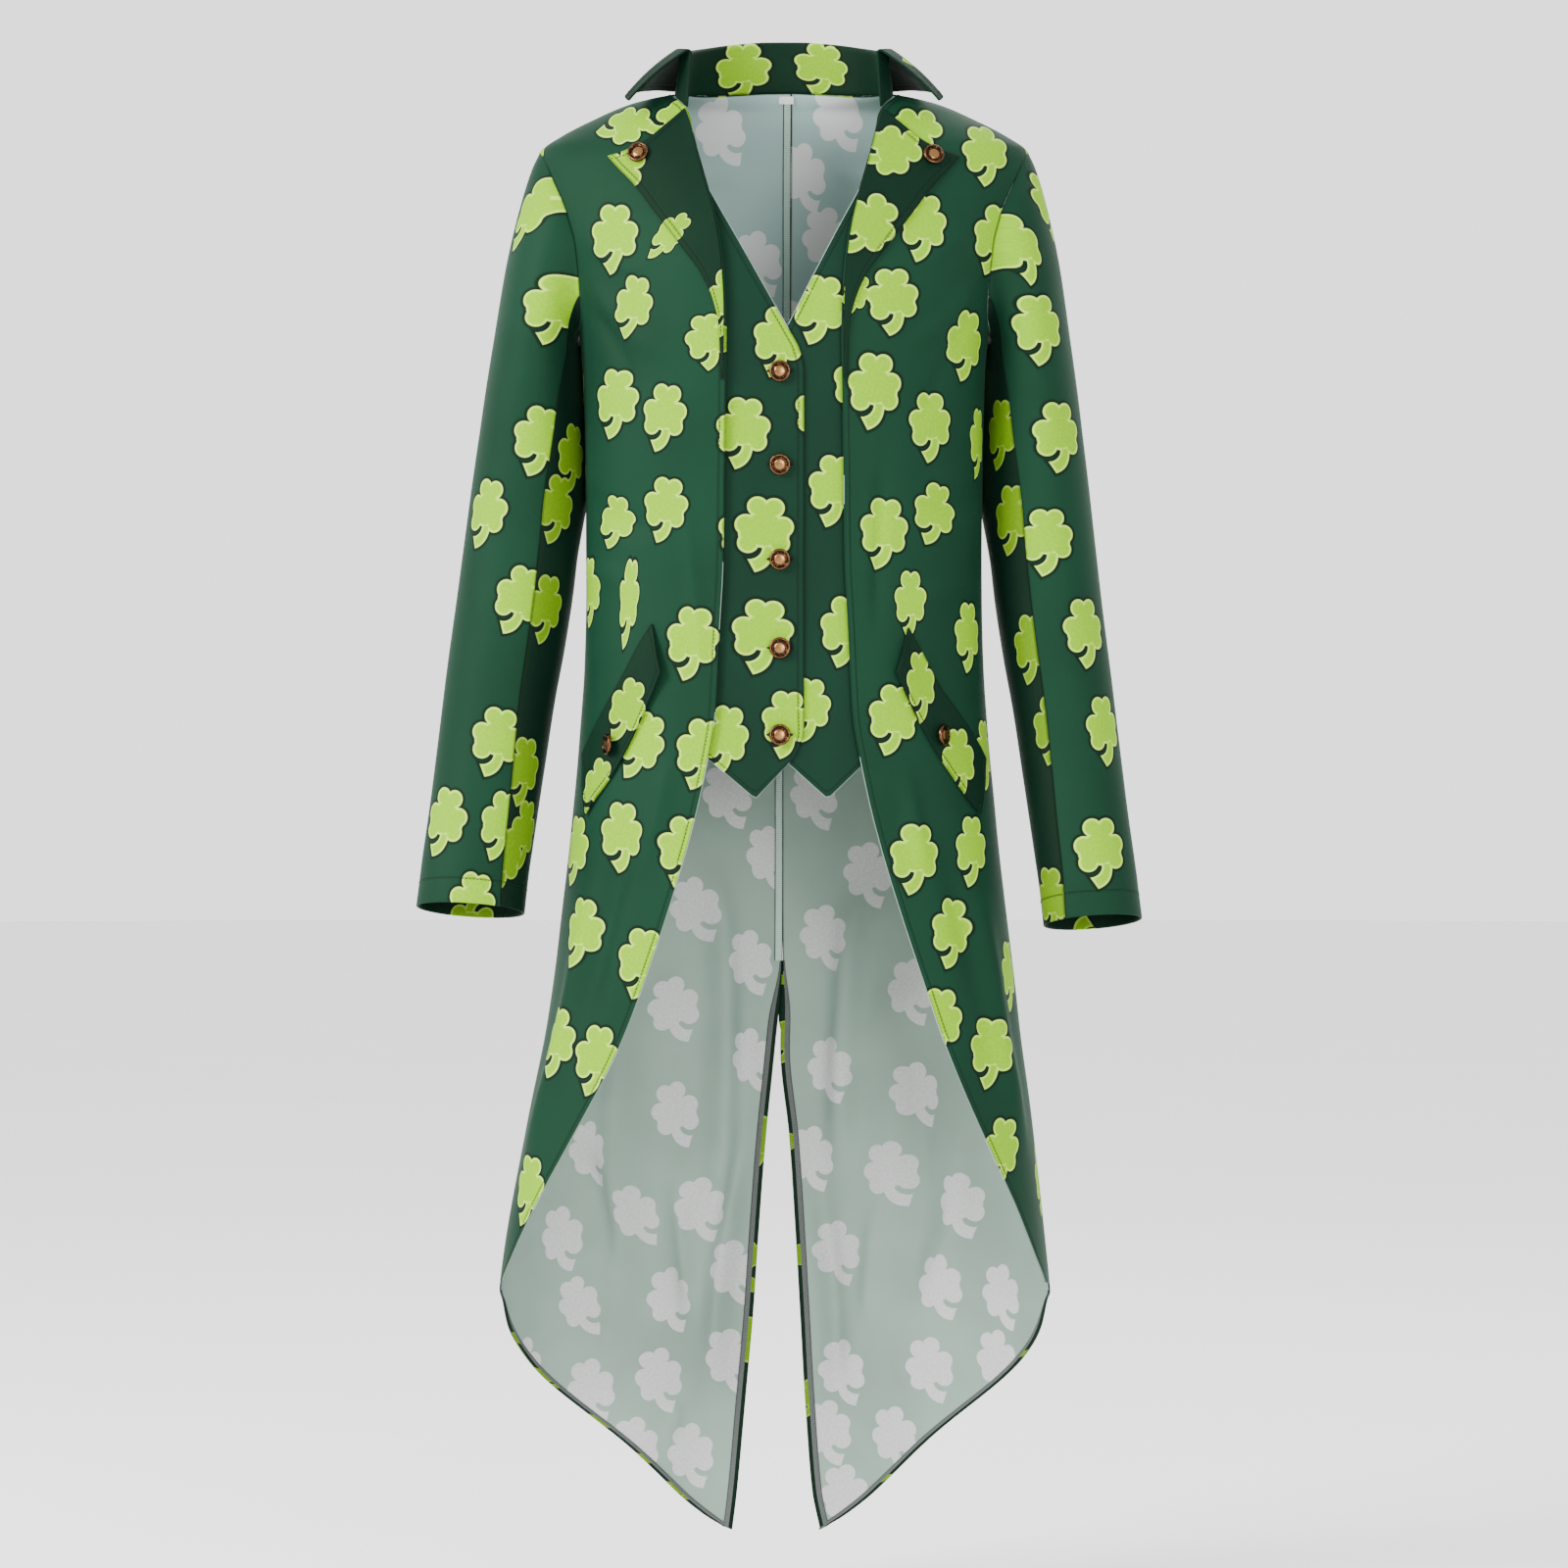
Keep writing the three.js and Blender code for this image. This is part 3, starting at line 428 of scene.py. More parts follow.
# Shamrocks as the camera sees them at the shoulder's depth: x, height, tilt, then size and share of width,
# which are 1 where they are left out
SEEN_FRONT_RIGHT = [
    [-131, -25, 72, 0.85, 0.95], [-88, -20, 66, 0.9, 0.9], [-143, -117, 2], [-96, -117, 40, 0.8, 0.62],
    [-126, -175, 12, 0.9, 0.88], [-65, -204, -10, 0.78, 1.12], [-142, -255, 6, 0.98, 1.18],
    [-101, -267, 8, 0.95, 0.95], [-36, -279, 4], [-140, -355, 8, 0.75, 1.25], [-100, -345, 8, 0.92],
    [-162, -412, 2, 1, 0.9], [-130, -421, 6, 1.28, 0.34], [-34, -366, 0], [-78, -457, 6, 1.04],
    [-119, -541, 24, 1, 0.9], [-70, -546, 8], [-175, -631, 4], [-137, -619, 4, 1, 0.95], [-85, -630, 6],
    [-172, -699, 6, 1, 0.9], [-120, -724, 6], [-192, -788, 4, 1, 0.8], [-158, -803, 6, 1, 0.95],
    [-214, -916, 6, 1, 0.9],
]
SEEN_FRONT_LEFT = [
    [108, -30, 62], [168, -47, -8, 0.92, 1.1], [90, -170, -4, 0.94, 1.12], [116, -108, 4, 0.98, 0.95],
    [60, -166, 20, 0.62, 0.8], [176, -118, 4, 1, 1.1], [152, -207, 4, 1, 1.12], [75, -245, 2, 1.07, 0.98],
    [122, -275, -2, 0.98, 0.98], [162, -289, 2, 1, 0.8], [125, -348, 12, 0.88, 1.12],
    [82, -364, 4, 1, 0.95], [105, -422, 0, 0.95, 0.68], [154, -452, 0, 1, 0.85], [91, -520, 6],
    [168, -547, 0, 1, 0.8], [110, -637, 2], [157, -630, 0, 1, 0.8], [140, -700, 8], [188, -736, 2, 1, 0.8],
    [129, -773, 4], [171, -800, 4, 1, 0.95], [182, -881, 6, 1, 0.9], [213, -905, 0, 1, 0.8],
]
SEEN_LAPEL_RIGHT = [[-137, -66, 40, 0.95, 0.9], [-50, -170, 4, 0.95, 0.7], [-95, -115, 52, 0.75, 0.62]]
SEEN_LAPEL_LEFT = [[91, -46, 76, 0.95, 1.05], [71, -107, 38, 1, 1.05]]
SEEN_FLAP_RIGHT = [[-132, -512, 22, 0.95, 0.85], [-157, -578, 18, 0.9, 0.8]]
SEEN_FLAP_LEFT = [[114, -492, -4, 1, 0.62], [146, -556, -4, 1, 0.8]]
SEEN_VEST_RIGHT = [
    [-5, -203, 6], [-35, -279, 4, 1, 1.05], [30, -264, 4], [-18, -364, 4, 1.05, 1.1],
    [-19, -448, 4, 1.05, 1.15], [-50, -537, 8, 1, 0.9], [1, -524, 2, 0.95],
]
SEEN_VEST_LEFT = [
    [29, -178, 8, 1, 1.05], [62, -240, 6], [41, -328, 4], [50, -446, 4, 1, 0.95], [20, -512, 4, 0.9, 0.95],
]
SEEN_SLEEVE_RIGHT = [
    [-212, -96, 8, 1.1, 0.78], [-190, -176, -4, 1.02, 1.15], [-205, -287, 4, 1, 1.05], [-250, -347, 6],
    [-222, -419, 10, 1, 0.95], [-241, -539, 4], [-285, -605, 6], [-237, -608, 4, 1, 0.8],
    [-262, -690, 6, 1, 0.9],
]
SEEN_SLEEVE_LEFT = [
    [217, -91, 0], [188, -124, 2, 1.1, 0.55], [213, -193, 0, 1, 1.1], [230, -283, 2, 1, 1.15],
    [219, -371, 4, 0.95, 1.15], [252, -447, 0], [268, -529, -2, 1, 0.9], [264, -631, 2, 1, 1.05],
]
SEEN_UNDER_RIGHT = [
    [-177, -302, 4], [-190, -344, 4, 1, 0.9], [-199, -428, 0, 1, 0.8], [-218, -562, 0, 1, 0.8],
    [-217, -615, 0, 1, 0.7], [-236, -637, 4, 1, 0.9],
]
SEEN_UNDER_LEFT = [
    [180, -282, 6], [189, -352, 6, 1, 0.9], [205, -460, 6, 1, 0.8], [223, -528, 6, 1, 0.8],
    [222, -672, 4, 1, 0.9],
]
SEEN_COLLAR = [[-37, 20, 0, 0.82, 1.52], [31.5, 23, 8, 0.74, 1.6]]
COLLAR_STITCH_DROP = 7.0

# Shamrocks of the collar's fall: way along the fold line from its middle, height above the free edge, tilt
COLLAR_FALL = [[-96, 30, 8], [-50, 14, -4], [-8, 34, 6], [42, 16, 10], [90, 32, 2]]
SEEN_WINGS = [[-87, 24, 120, 0.5, 0.8], [95, 26, -110, 0.95, 0.8]]
SEEN_BACK_RIGHT = [
    [-53, -28, 23], [-21, -139, 17, 1, 0.95], [-47, -583, 17], [-12, -636, 15, 1, 0.9], [-74, -679, 19],
    [-29, -722, 15], [-91, -763, 17], [-27, -806, 19, 1, 0.9], [-90, -851, 13], [-163, -883, 13, 1, 0.95],
    [-124, -935, 23, 0.95, 0.85], [-69, -931, 15], [-186, -955, 15, 1, 0.9], [-41, -983, 15],
    [-171, -1011, 25, 0.95, 0.9], [-94, -1006, 15], [-104, -1073, 13], [-44, -1057, 13], [-161, -1082, 15],
    [-78, -1136, 13], [-124, -1130, 13],
]
SEEN_BACK_LEFT = [
    [17, -66, 13, 1, 0.9], [46, -16, 19], [37, -120, 13], [26, -586, 15, 1, 0.95], [72, -649, 13],
    [35, -702, 15], [107, -748, 13], [39, -816, 13], [114, -834, 17], [24, -886, 13], [89, -900, 15],
    [147, -926, 13], [46, -966, 13], [131, -995, 15], [184, -1003, 13, 1, 0.9], [50, -1066, 13],
    [123, -1064, 13], [180, -1058, 13, 1, 0.9], [37, -1117, 13], [94, -1122, 15], [52, -1170, 13],
]


def eased(t):
    """Goes from 0 to 1 with flat ends: t squared times (3 - 2 t), with t held between 0 and 1."""
    t = np.clip(t, 0.0, 1.0)
    return t * t * (3 - 2 * t)


def mix(a, b, share):
    return a + (b - a) * share


def run_through(table, column, at):
    """Smooth run through a table: cubic stretches, each slope the harmonic mean of its neighbours."""
    rows = np.asarray(table, float)
    key, value = rows[:, 0], rows[:, column]
    at = np.asarray(at, float)
    if key[0] > key[-1]:
        key, at = -key, -at
    step = np.diff(key)
    slope = np.diff(value) / step
    product, total = slope[:-1] * slope[1:], slope[:-1] + slope[1:]
    inner = np.where(product > 0, 2 * product / np.where(product > 0, total, 1.0), 0.0)
    tangent = np.concatenate([slope[:1], inner, slope[-1:]])
    at = np.clip(at, key[0], key[-1])
    i = np.clip(np.searchsorted(key, at, side="right") - 1, 0, len(step) - 1)
    h, s = step[i], (at - key[i]) / step[i]
    rise = tangent[i] * h * s * (1 - s) ** 2 + tangent[i + 1] * h * s * s * (s - 1)
    return value[i] * (1 + 2 * s) * (1 - s) ** 2 + value[i + 1] * s * s * (3 - 2 * s) + rise


def indexed(table):
    """The same table with its row numbers in front."""
    return np.column_stack([np.arange(len(table)), np.asarray(table, float)])


def row_at(table, at):
    """Every column of a table at a row number, which may lie between two rows."""
    rows = indexed(table)
    return [run_through(rows, column + 1, at) for column in range(len(table[0]))]


def value_at(values, at):
    """A list's value at a place in it, which may lie between two of its values."""
    return row_at([[value] for value in values], at)[0]


def crease_relief(table, along, across, arc_step, run_step, depth_share):
    """Sum of creases: each is a bell across a bowed line from start to end, fading out at both ends."""
    relief = np.zeros(np.broadcast(along, across).shape)
    for a0, r0, a1, r1, bow, wide, deep in table:
        du, dv = (a1 - a0) * arc_step, (r1 - r0) * run_step
        length = math.hypot(du, dv)
        u, v = (along - a0) * arc_step, (across - r0) * run_step
        t = (u * du + v * dv) / length**2
        off = (u * dv - v * du) / length - bow * arc_step * 4 * t * (1 - t)
        ends = eased(t / 0.35) * eased((1 - t) / 0.35)
        relief += depth_share * deep * ends * np.exp(-((off / wide) ** 2))
    return relief


def rumple(u, v, height):
    """Low uneven waves of cloth: three crossed sines of unlike lengths, in millimetres."""
    waves = np.sin(u / 17 + 1.3 * np.sin(v / 39)) + 0.8 * np.sin(v / 23 + 1.7 * np.sin(u / 31) + 0.6)
    return height * (waves + 0.6 * np.sin((u + v) / 12.5 + 2.1)) / 2.4


def lean_at(z):
    """Sideways lean of the skirt below the waist."""
    return -SKIRT_LEAN * eased((-z - 720) / 290)


def form_point(angle, z, relief=True):
    """Point of the body form: level sections 1 = |x/a|^n + |y/b|^n, plus skirt folds and creases outwards."""
    angle, z = np.broadcast_arrays(np.asarray(angle, float), np.asarray(z, float))
    turn = (angle + 180) % 360 - 180
    wide = run_through(BODY, 1, z)
    deep = np.where(np.abs(turn) < 90, run_through(BODY, 2, z), run_through(BODY, 3, z))
    square = run_through(BODY, 4, z)
    s, c = np.sin(np.radians(turn)), np.cos(np.radians(turn))
    radius = ((np.abs(s) / wide) ** square + (np.abs(c) / deep) ** square) ** (-1 / square)
    for waist, hem, half, out, start in SKIRT_FOLDS:
        centre = mix(waist, hem, eased((start - z) / 600))
        radius = radius + out * eased((start - z) / 420) * np.exp(-(((turn - centre) / half) ** 2))
    if relief:
        relief = crease_relief(BODY_CREASES, turn, z, BODY_ARC_PER_DEGREE, 1.0, CREASE_DEPTH)
        radius = radius + relief * mix(1.0, 1.5, eased((-z - 560) / 200))
        radius = radius + rumple(turn * BODY_ARC_PER_DEGREE, z, 0.22) * eased((-z - 20) / 100)
    return np.stack([radius * s + lean_at(z), -radius * c, z], -1)


def unit(v):
    return v / np.maximum(np.linalg.norm(v, axis=-1, keepdims=True), 1e-12)


def step_lengths(points, axis=0):
    """Lengths of the steps from each point to the next."""
    return np.linalg.norm(np.diff(points, axis=axis), axis=-1)


def form_normal(angle, z):
    """Way out of the form: the cross product of its run round the body and its run upwards."""
    round_ = form_point(angle + 0.5, z) - form_point(angle - 0.5, z)
    up = form_point(angle, z + 1.5) - form_point(angle, z - 1.5)
    return unit(np.cross(round_, up))


def angle_at_x(x, z, behind=False):
    """Angle at which the form has a given x, found by halving the quarter that holds it."""
    sign = np.where(x < 0, -1.0, 1.0)
    low, high = np.zeros(np.shape(x)), np.full(np.shape(x), 89.0)
    for _ in range(26):
        middle = (low + high) / 2
        turn = sign * (180 - middle) if behind else sign * middle
        short = sign * form_point(turn, z, relief=False)[..., 0] < np.abs(x)
        low, high = np.where(short, middle, low), np.where(short, high, middle)
    return sign * (180 - (low + high) / 2) if behind else sign * (low + high) / 2


def arc_across(angle, z, start):
    """Length of cloth round the form from the start angle, at each point's own height."""
    steps = np.linspace(0.0, 1.0, 25)[:, None, None]
    chain = form_point(mix(start, angle, steps), np.broadcast_to(z, angle.shape), relief=False)
    return step_lengths(chain).sum(0) * np.sign(angle - start)


def armhole_place(round_):
    """Place of the armhole seam on the form: in front at 0 to 180 degrees round it, behind at 0 to -180."""
    hole = np.abs(round_)
    angle = np.where(round_ >= 0, run_through(ARMHOLE_FRONT, 1, hole), run_through(ARMHOLE_BACK, 1, hole))
    z = np.where(round_ >= 0, run_through(ARMHOLE_FRONT, 2, hole), run_through(ARMHOLE_BACK, 2, hole))
    return angle, z


def close_set(count, share=0.6):
    """Shares from 0 to 1 that lie closer together at both ends: t minus a part of one sine wave."""
    t = np.linspace(0.0, 1.0, count)
    return t - share * np.sin(2 * np.pi * t) / (2 * np.pi)


def new_sheet(points, normals, across, height, wall):
    """A sheet: points, ways out, cloth measures, wall, and each point's way from the stitched edges."""
    near = np.full(across.shape, FAR)
    return SimpleNamespace(points=points, normals=normals, across=across, height=height, wall=wall, near=near)


def cloth_grid(place, last_row, rows, columns, wall):
    """Lays a piece's grid so that its half-round rim ends on the seam line, half a wall further out."""
    v = np.linspace(0.0, 1.0, rows)[:, None]
    u = close_set(columns)[None, :]
    rough = place(np.broadcast_to(v * last_row, (rows, columns)), np.broadcast_to(u, (rows, columns)))[0]
    width = step_lengths(rough, 1).sum(1)[:, None]
    length = step_lengths(rough).sum(0)[None, :]
    edge_u, edge_v = np.minimum(wall / 2 / width, 0.3), np.minimum(wall / 2 / length, 0.3)
    uu, vv = edge_u + u * (1 - 2 * edge_u), edge_v + v * (1 - 2 * edge_v)
    points, normals, across, height = place(vv * last_row, uu)
    return new_sheet(points, normals, across, height, wall)


def panel_on_form(angle, z, start, out=0.0):
    """Points, ways out and cloth measures of a piece that lies a set distance off the body form."""
    normal = form_normal(angle, z)
    points = form_point(angle, z) + normal * np.asarray(out)[..., None]
    return points, normal, arc_across(angle, z, start), np.broadcast_to(z, angle.shape)


def front_sheet(side):
    """A front: level rows from the front edge to the armhole or side seam, down to the cutaway's end."""

    def place(row, share):
        hole_angle, hole_z = armhole_place(value_at(ARMHOLE_STOPS, row))
        low = row > ARMHOLE_LAST
        side_z = value_at(SIDE_SEAM_Z, row - ARMHOLE_LAST)
        seam_angle = np.where(low, 90.0, hole_angle)
        seam_z = np.where(low, side_z, hole_z)
        edge_z = np.where(low, np.maximum(side_z, CUTAWAY_END_Z), value_at(FRONT_EDGE_ROWS, row))
        angle = side * mix(run_through(FRONT_EDGE, 1, edge_z), seam_angle, share)
        return panel_on_form(angle, mix(edge_z, seam_z, share), 0.0)

    return cloth_grid(place, ARMHOLE_LAST + len(SIDE_SEAM_Z) - 1, 216, 72, CLOTH_WALL)


def back_angle_at_x(x, z):
    """Angle behind at which the form's section has about this x, counted from its own middle."""
    return 180 - np.degrees(np.arctan2(x, run_through(BODY, 3, z)))


def back_sheet(side):
    """A back: rows from the centre seam to armhole, side seam and tail hem, bent to the neck on top."""
    column = 1 if side < 0 else 2
    holes = [armhole_place(np.array(-float(stop))) for stop in ARMHOLE_STOPS]
    ends = [[z, float(hole[0]), float(hole[1])] for z, hole in zip(CENTRE_ROWS, holes)]
    ends += [[z if z > -960 else z - 4.8, 90, z] for z in SIDE_SEAM_Z[1:]]
    ends += [[centre, angle, z] for angle, z, centre in TAIL_HEM]
    nape_z = CENTRE_BACK[0][0]
    nape = float(back_angle_at_x(side * CENTRE_BACK[0][column], nape_z))
    top = [[nape, nape_z]] + NECK_BACK[1:] + [[90, mix(0, -50, stop)] for stop in SHOULDER_STOPS]

    def place(row, share):
        centre_z, seam_angle, seam_z = row_at(ends, row)
        hole_angle, hole_z = armhole_place(-value_at(ARMHOLE_STOPS, row))
        seam_angle = np.where(row < ARMHOLE_LAST, hole_angle, seam_angle)
        seam_z = np.where(row < ARMHOLE_LAST, hole_z, seam_z)
        centre_x = run_through(CENTRE_BACK, column, centre_z) - lean_at(centre_z)
        centre_angle = back_angle_at_x(side * centre_x, centre_z)
        keep = 1 - eased(row / 7)
        top_angle, top_z = row_at(top, share * (len(top) - 1))
        bent_angle, bent_z = top_angle - mix(nape, 90, share), top_z - mix(nape_z, -50, share)
        angle = side * (mix(centre_angle, seam_angle, share) + keep * bent_angle)
        return panel_on_form(angle, mix(centre_z, seam_z, share) + keep * bent_z, side * 180.0)

    return cloth_grid(place, len(ends) - 1, 248, 72, CLOTH_WALL)


def sleeve_point(side, ring, turn, creases):
    """Sleeve form: an ellipse across the arm in each ring, led to the armhole seam over the first rings."""
    out_x, out_z, in_x, in_z, middle_y, deep, lift, joined = row_at(SLEEVE, ring)
    turn = (turn + 180) % 360 - 180
    hole = form_point(side * armhole_place(turn)[0], armhole_place(turn)[1])
    low = eased((np.abs(turn) - 90) / 60)
    hole = hole + np.stack([side * mix(0.1, 0.8, low), 0 * low, 0.6 * low], -1)
    out_x = out_x - side * SLEEVE_SWING * eased(ring / 10)
    drop = side * SLEEVE_DROP * eased(ring / 14)
    cos, sin = np.cos(np.radians(turn)), np.sin(np.radians(turn))
    relief = crease_relief(creases, turn, ring, SLEEVE_ARC_PER_DEGREE, SLEEVE_RING_STEP, CREASE_DEPTH)
    relief = relief + rumple(turn * SLEEVE_ARC_PER_DEGREE, ring * SLEEVE_RING_STEP, 0.2)
    relief = relief * eased(ring / 0.6) * eased((14 - ring) / 0.8)
    half_wide = side * (out_x - in_x) * 0.5
    x = side * (out_x + in_x) * 0.5 + half_wide * cos + side * relief * cos
    round_behind = np.exp(-((((turn + 332) % 360 - 180) / 30) ** 2))
    x = x - side * SLEEVE_FULLNESS * round_behind * eased((ring - 1.0) / 1.4) * eased((7.7 - ring) / 1.5)
    y = middle_y - (deep + relief) * sin
    z = (out_z + in_z) * 0.5 - drop + (out_z - in_z) * 0.5 * cos + lift * sin
    return mix(hole, np.stack([x, y, z], -1), joined[..., None])


def sleeve_sheet(side, upper):
    """A sleeve piece between its front and back seams, ring by ring from the armhole to the cuff.
    The cloth's measures are the arc round the arm and the way along its axis."""
    creases = SLEEVE_CREASES_RIGHT if side < 0 else SLEEVE_CREASES_LEFT
    last = len(SLEEVE) - 1
    axis = unit(np.array([side * ARM_AXIS[0], ARM_AXIS[1], ARM_AXIS[2]]))

    def place(row, share):
        front, back = run_through(SLEEVE_SEAMS, 1, row), run_through(SLEEVE_SEAMS, 2, row)
        turn = mix(-back, front, share) if upper else mix(front, 360 - back, share)
        ring = np.clip(row, 0.03, last - 0.03)
        down = sleeve_point(side, ring + 0.03, turn, creases) - sleeve_point(side, ring - 0.03, turn, creases)
        round_ = sleeve_point(side, ring, turn + 1, creases) - sleeve_point(side, ring, turn - 1, creases)
        normal = unit(np.cross(round_, down)) * side
        chain = mix(ARM_MEASURE_START, turn, np.linspace(0.0, 1.0, 17)[:, None, None])
        steps = np.diff(sleeve_point(side, np.broadcast_to(row, turn.shape), chain, creases), axis=0)
        steps = steps - (steps @ axis)[..., None] * axis
        across = np.linalg.norm(steps, axis=-1).sum(0) * np.sign(turn - ARM_MEASURE_START) * -side
        points = sleeve_point(side, row, turn, creases)
        return points, normal, across, -(points @ axis)

    return cloth_grid(place, last, 150, 56 if upper else 34, CLOTH_WALL)


def vest_depth(x):
    """How deep the waistcoat front is sunk behind the fronts at an x, below the neck."""
    return mix(VEST_DEPTH_CENTRE, VEST_DEPTH_SIDE, eased(np.abs(x) / 112))


def vest_sheet(table, under):
    """A vest front: straight lines between its three edges, sunk behind the fronts."""

    def place(row, share):
        near_x, near_z, middle_x, middle_z, far_x, far_z = row_at(table, row)
        part = share * 2
        x = np.where(part <= 1, mix(near_x, middle_x, part), mix(middle_x, far_x, part - 1))
        z = np.where(part <= 1, mix(near_z, middle_z, part), mix(middle_z, far_z, part - 1))
        depth = mix(VEST_DEPTH_SIDE, vest_depth(x), eased((-z - 30) / 110))
        if under:
            depth = depth + VEST_UNDERLAP_DROP * (1 - eased((x - 22) / 24)) * eased((-z - 120) / 60)
        return panel_on_form(angle_at_x(x, z), z, 0.0, -depth)

    return cloth_grid(place, len(table) - 1, 128, 56, VEST_WALL)


def lapel_sheet(side):
    """A lapel, laid on the front outside its roll edge."""

    def place(row, share):
        roll_x, roll_z, outer_x, outer_z = row_at(LAPEL, row)
        bow = run_through(LAPEL_TOP_BOW, 1, share) * (1 - eased(row / 4))
        x, z = mix(roll_x, outer_x, share), mix(roll_z, outer_z, share) - bow
        lift = LAPEL_LIFT + LAPEL_WALL + 1.2 * np.exp(-(((share - 0.5) / 0.3) ** 2)) * eased((5 - row) / 5)
        return panel_on_form(side * angle_at_x(x, z), z, 0.0, lift)

    return cloth_grid(place, len(LAPEL) - 1, 84, 40, LAPEL_WALL)


def flap_sheet(side, table):
    """A pocket flap, laid across the hip with its front end lifted."""

    def place(row, share):
        sewn_angle, sewn_z, free_angle, free_z, raised = row_at(table, row)
        angle, z = side * mix(sewn_angle, free_angle, share), mix(sewn_z, free_z, share)
        return panel_on_form(angle, z, 0.0, FLAP_LIFT + FLAP_WALL + raised * eased(share * 1.3))

    return cloth_grid(place, len(table) - 1, 64, 28, FLAP_WALL)


def collar_sheet():
    """The collar: a stand on the neck seam, a half-round fold, and a fall whose slope eases outwards."""
    stand_shares = np.linspace(0.0, 1.0, 12)
    fold_shares = np.linspace(0.0, 1.0, 12)[1:]
    fall_steps = 24
    turns = np.concatenate([-np.linspace(59.5, 180, 90), np.linspace(180, 59.5, 90)[1:]])[:, None]
    turn = np.abs(turns)
    col = [run_through(COLLAR, column, turn) for column in range(1, 8)]
    base_z, fold_z, lean, flare, bend, fall, ahead = col
    base = form_point(turns, base_z)[:, 0, :]
    base[:, 2] += 0.7
    outwards = form_normal(turns, base_z)[:, 0, :]
    outwards[:, 2] = 0
    outwards = unit(outwards)
    side_way = np.stack([np.sign(turns[:, 0]), 0 * turn[:, 0], 0 * turn[:, 0]], -1)
    outwards = unit(mix(outwards, side_way, eased((96 - turn) / 36)))
    stand = fold_z - COLLAR_WALL - base[:, 2:3] - FOLD_RADIUS
    flare, bend = np.radians(flare), np.radians(bend)
    sweep = (np.pi - flare) * fold_shares
    slope = flare - bend * ((np.arange(fall_steps) + 0.5) / fall_steps - 0.35)
    out = [
        -lean * stand_shares,
        -lean + FOLD_RADIUS - np.cos(sweep) * FOLD_RADIUS,
    ]
    up = [stand * stand_shares, stand + np.sin(sweep) * FOLD_RADIUS]
    out.append(out[1][:, -1:] + np.cumsum(np.sin(slope) * fall / fall_steps, axis=1))
    up.append(up[1][:, -1:] - np.cumsum(np.cos(slope) * fall / fall_steps, axis=1))
    out, up = np.concatenate(out, 1), np.concatenate(up, 1)
    fore = np.zeros(out.shape)
    fore[:, -fall_steps:] = -ahead * (np.arange(fall_steps) + 1) / fall_steps
    points = base[:, None, :] + outwards[:, None, :] * out[..., None]
    points = points + np.stack([0 * up, fore, up], -1)
    along, down = np.gradient(points, axis=0), np.gradient(points, axis=1)
    normals = -unit(np.cross(along, down))
    line = np.linalg.norm(np.diff(points, axis=1, prepend=points[:, :1]), axis=-1).cumsum(1)
    fold_line = points[:, 12, :]
    run = np.linalg.norm(np.diff(fold_line, axis=0, prepend=fold_line[:1]), axis=-1).cumsum()
    across = np.broadcast_to((run - run[-1] / 2)[:, None], line.shape)
    return new_sheet(points, normals, across, line, COLLAR_WALL)


def seen_from_camera(points):
    """Where the camera sees points, in millimetres on the plane through the shoulders."""
    share = CAMERA_DISTANCE / (CAMERA_DISTANCE + points[..., 1])
    return points[..., 0] * share, (points[..., 2] - CAMERA_HEIGHT) * share + CAMERA_HEIGHT


def places_on(sheet, seen, away=False, columns=None):
    """Turns places as seen into places on the cloth: a mean of the four grid points that look nearest."""
    x, z = seen_from_camera(sheet.points)
    hidden = (sheet.normals[..., 1] > 0.1) if not away else np.zeros(x.shape, bool)
    if columns:
        hidden[:, : columns[0]] = True
        hidden[:, columns[1] :] = True
    found = []
    for row in seen:
        seen_x, seen_z, tilt, size, width = (*row, 1, 1)[:5]
        gap = (x - seen_x) ** 2 + (z - seen_z) ** 2 + np.where(hidden, 1e6, 0.0)
        near = np.argsort(gap, axis=None)[:4]
        weight = 1 / (gap.ravel()[near] + 0.5)
        weight /= weight.sum()
        across = (sheet.across.ravel()[near] * weight).sum()
        height = (sheet.height.ravel()[near] * weight).sum()
        row, column = np.unravel_index(near[0], x.shape)
        other = column - 1 if column else 1
        slope = (sheet.across[row, column] - sheet.across[row, other]) / (x[row, column] - x[row, other])
        if abs(slope) < 2:
            across += np.clip(seen_x - (x.ravel()[near] * weight).sum(), -22, 22) * slope
        found.append([across, height, tilt, size, width])
    return found


# The staggered repeat: reach past a sheet, way clear of the given places, unevenness across and down, tilt
REPEAT_REACH = 38.0
REPEAT_CLEAR = 66.0
UNEVEN_ACROSS = 7.0
UNEVEN_DOWN = 9.0
REPEAT_TILT = (-6.0, 14.0)


def repeat_steps(values, step):
    """Numbers of the steps of a repeat that cover a range of values."""
    return np.arange(math.floor(values.min() / step) - 1, math.ceil(values.max() / step) + 2)


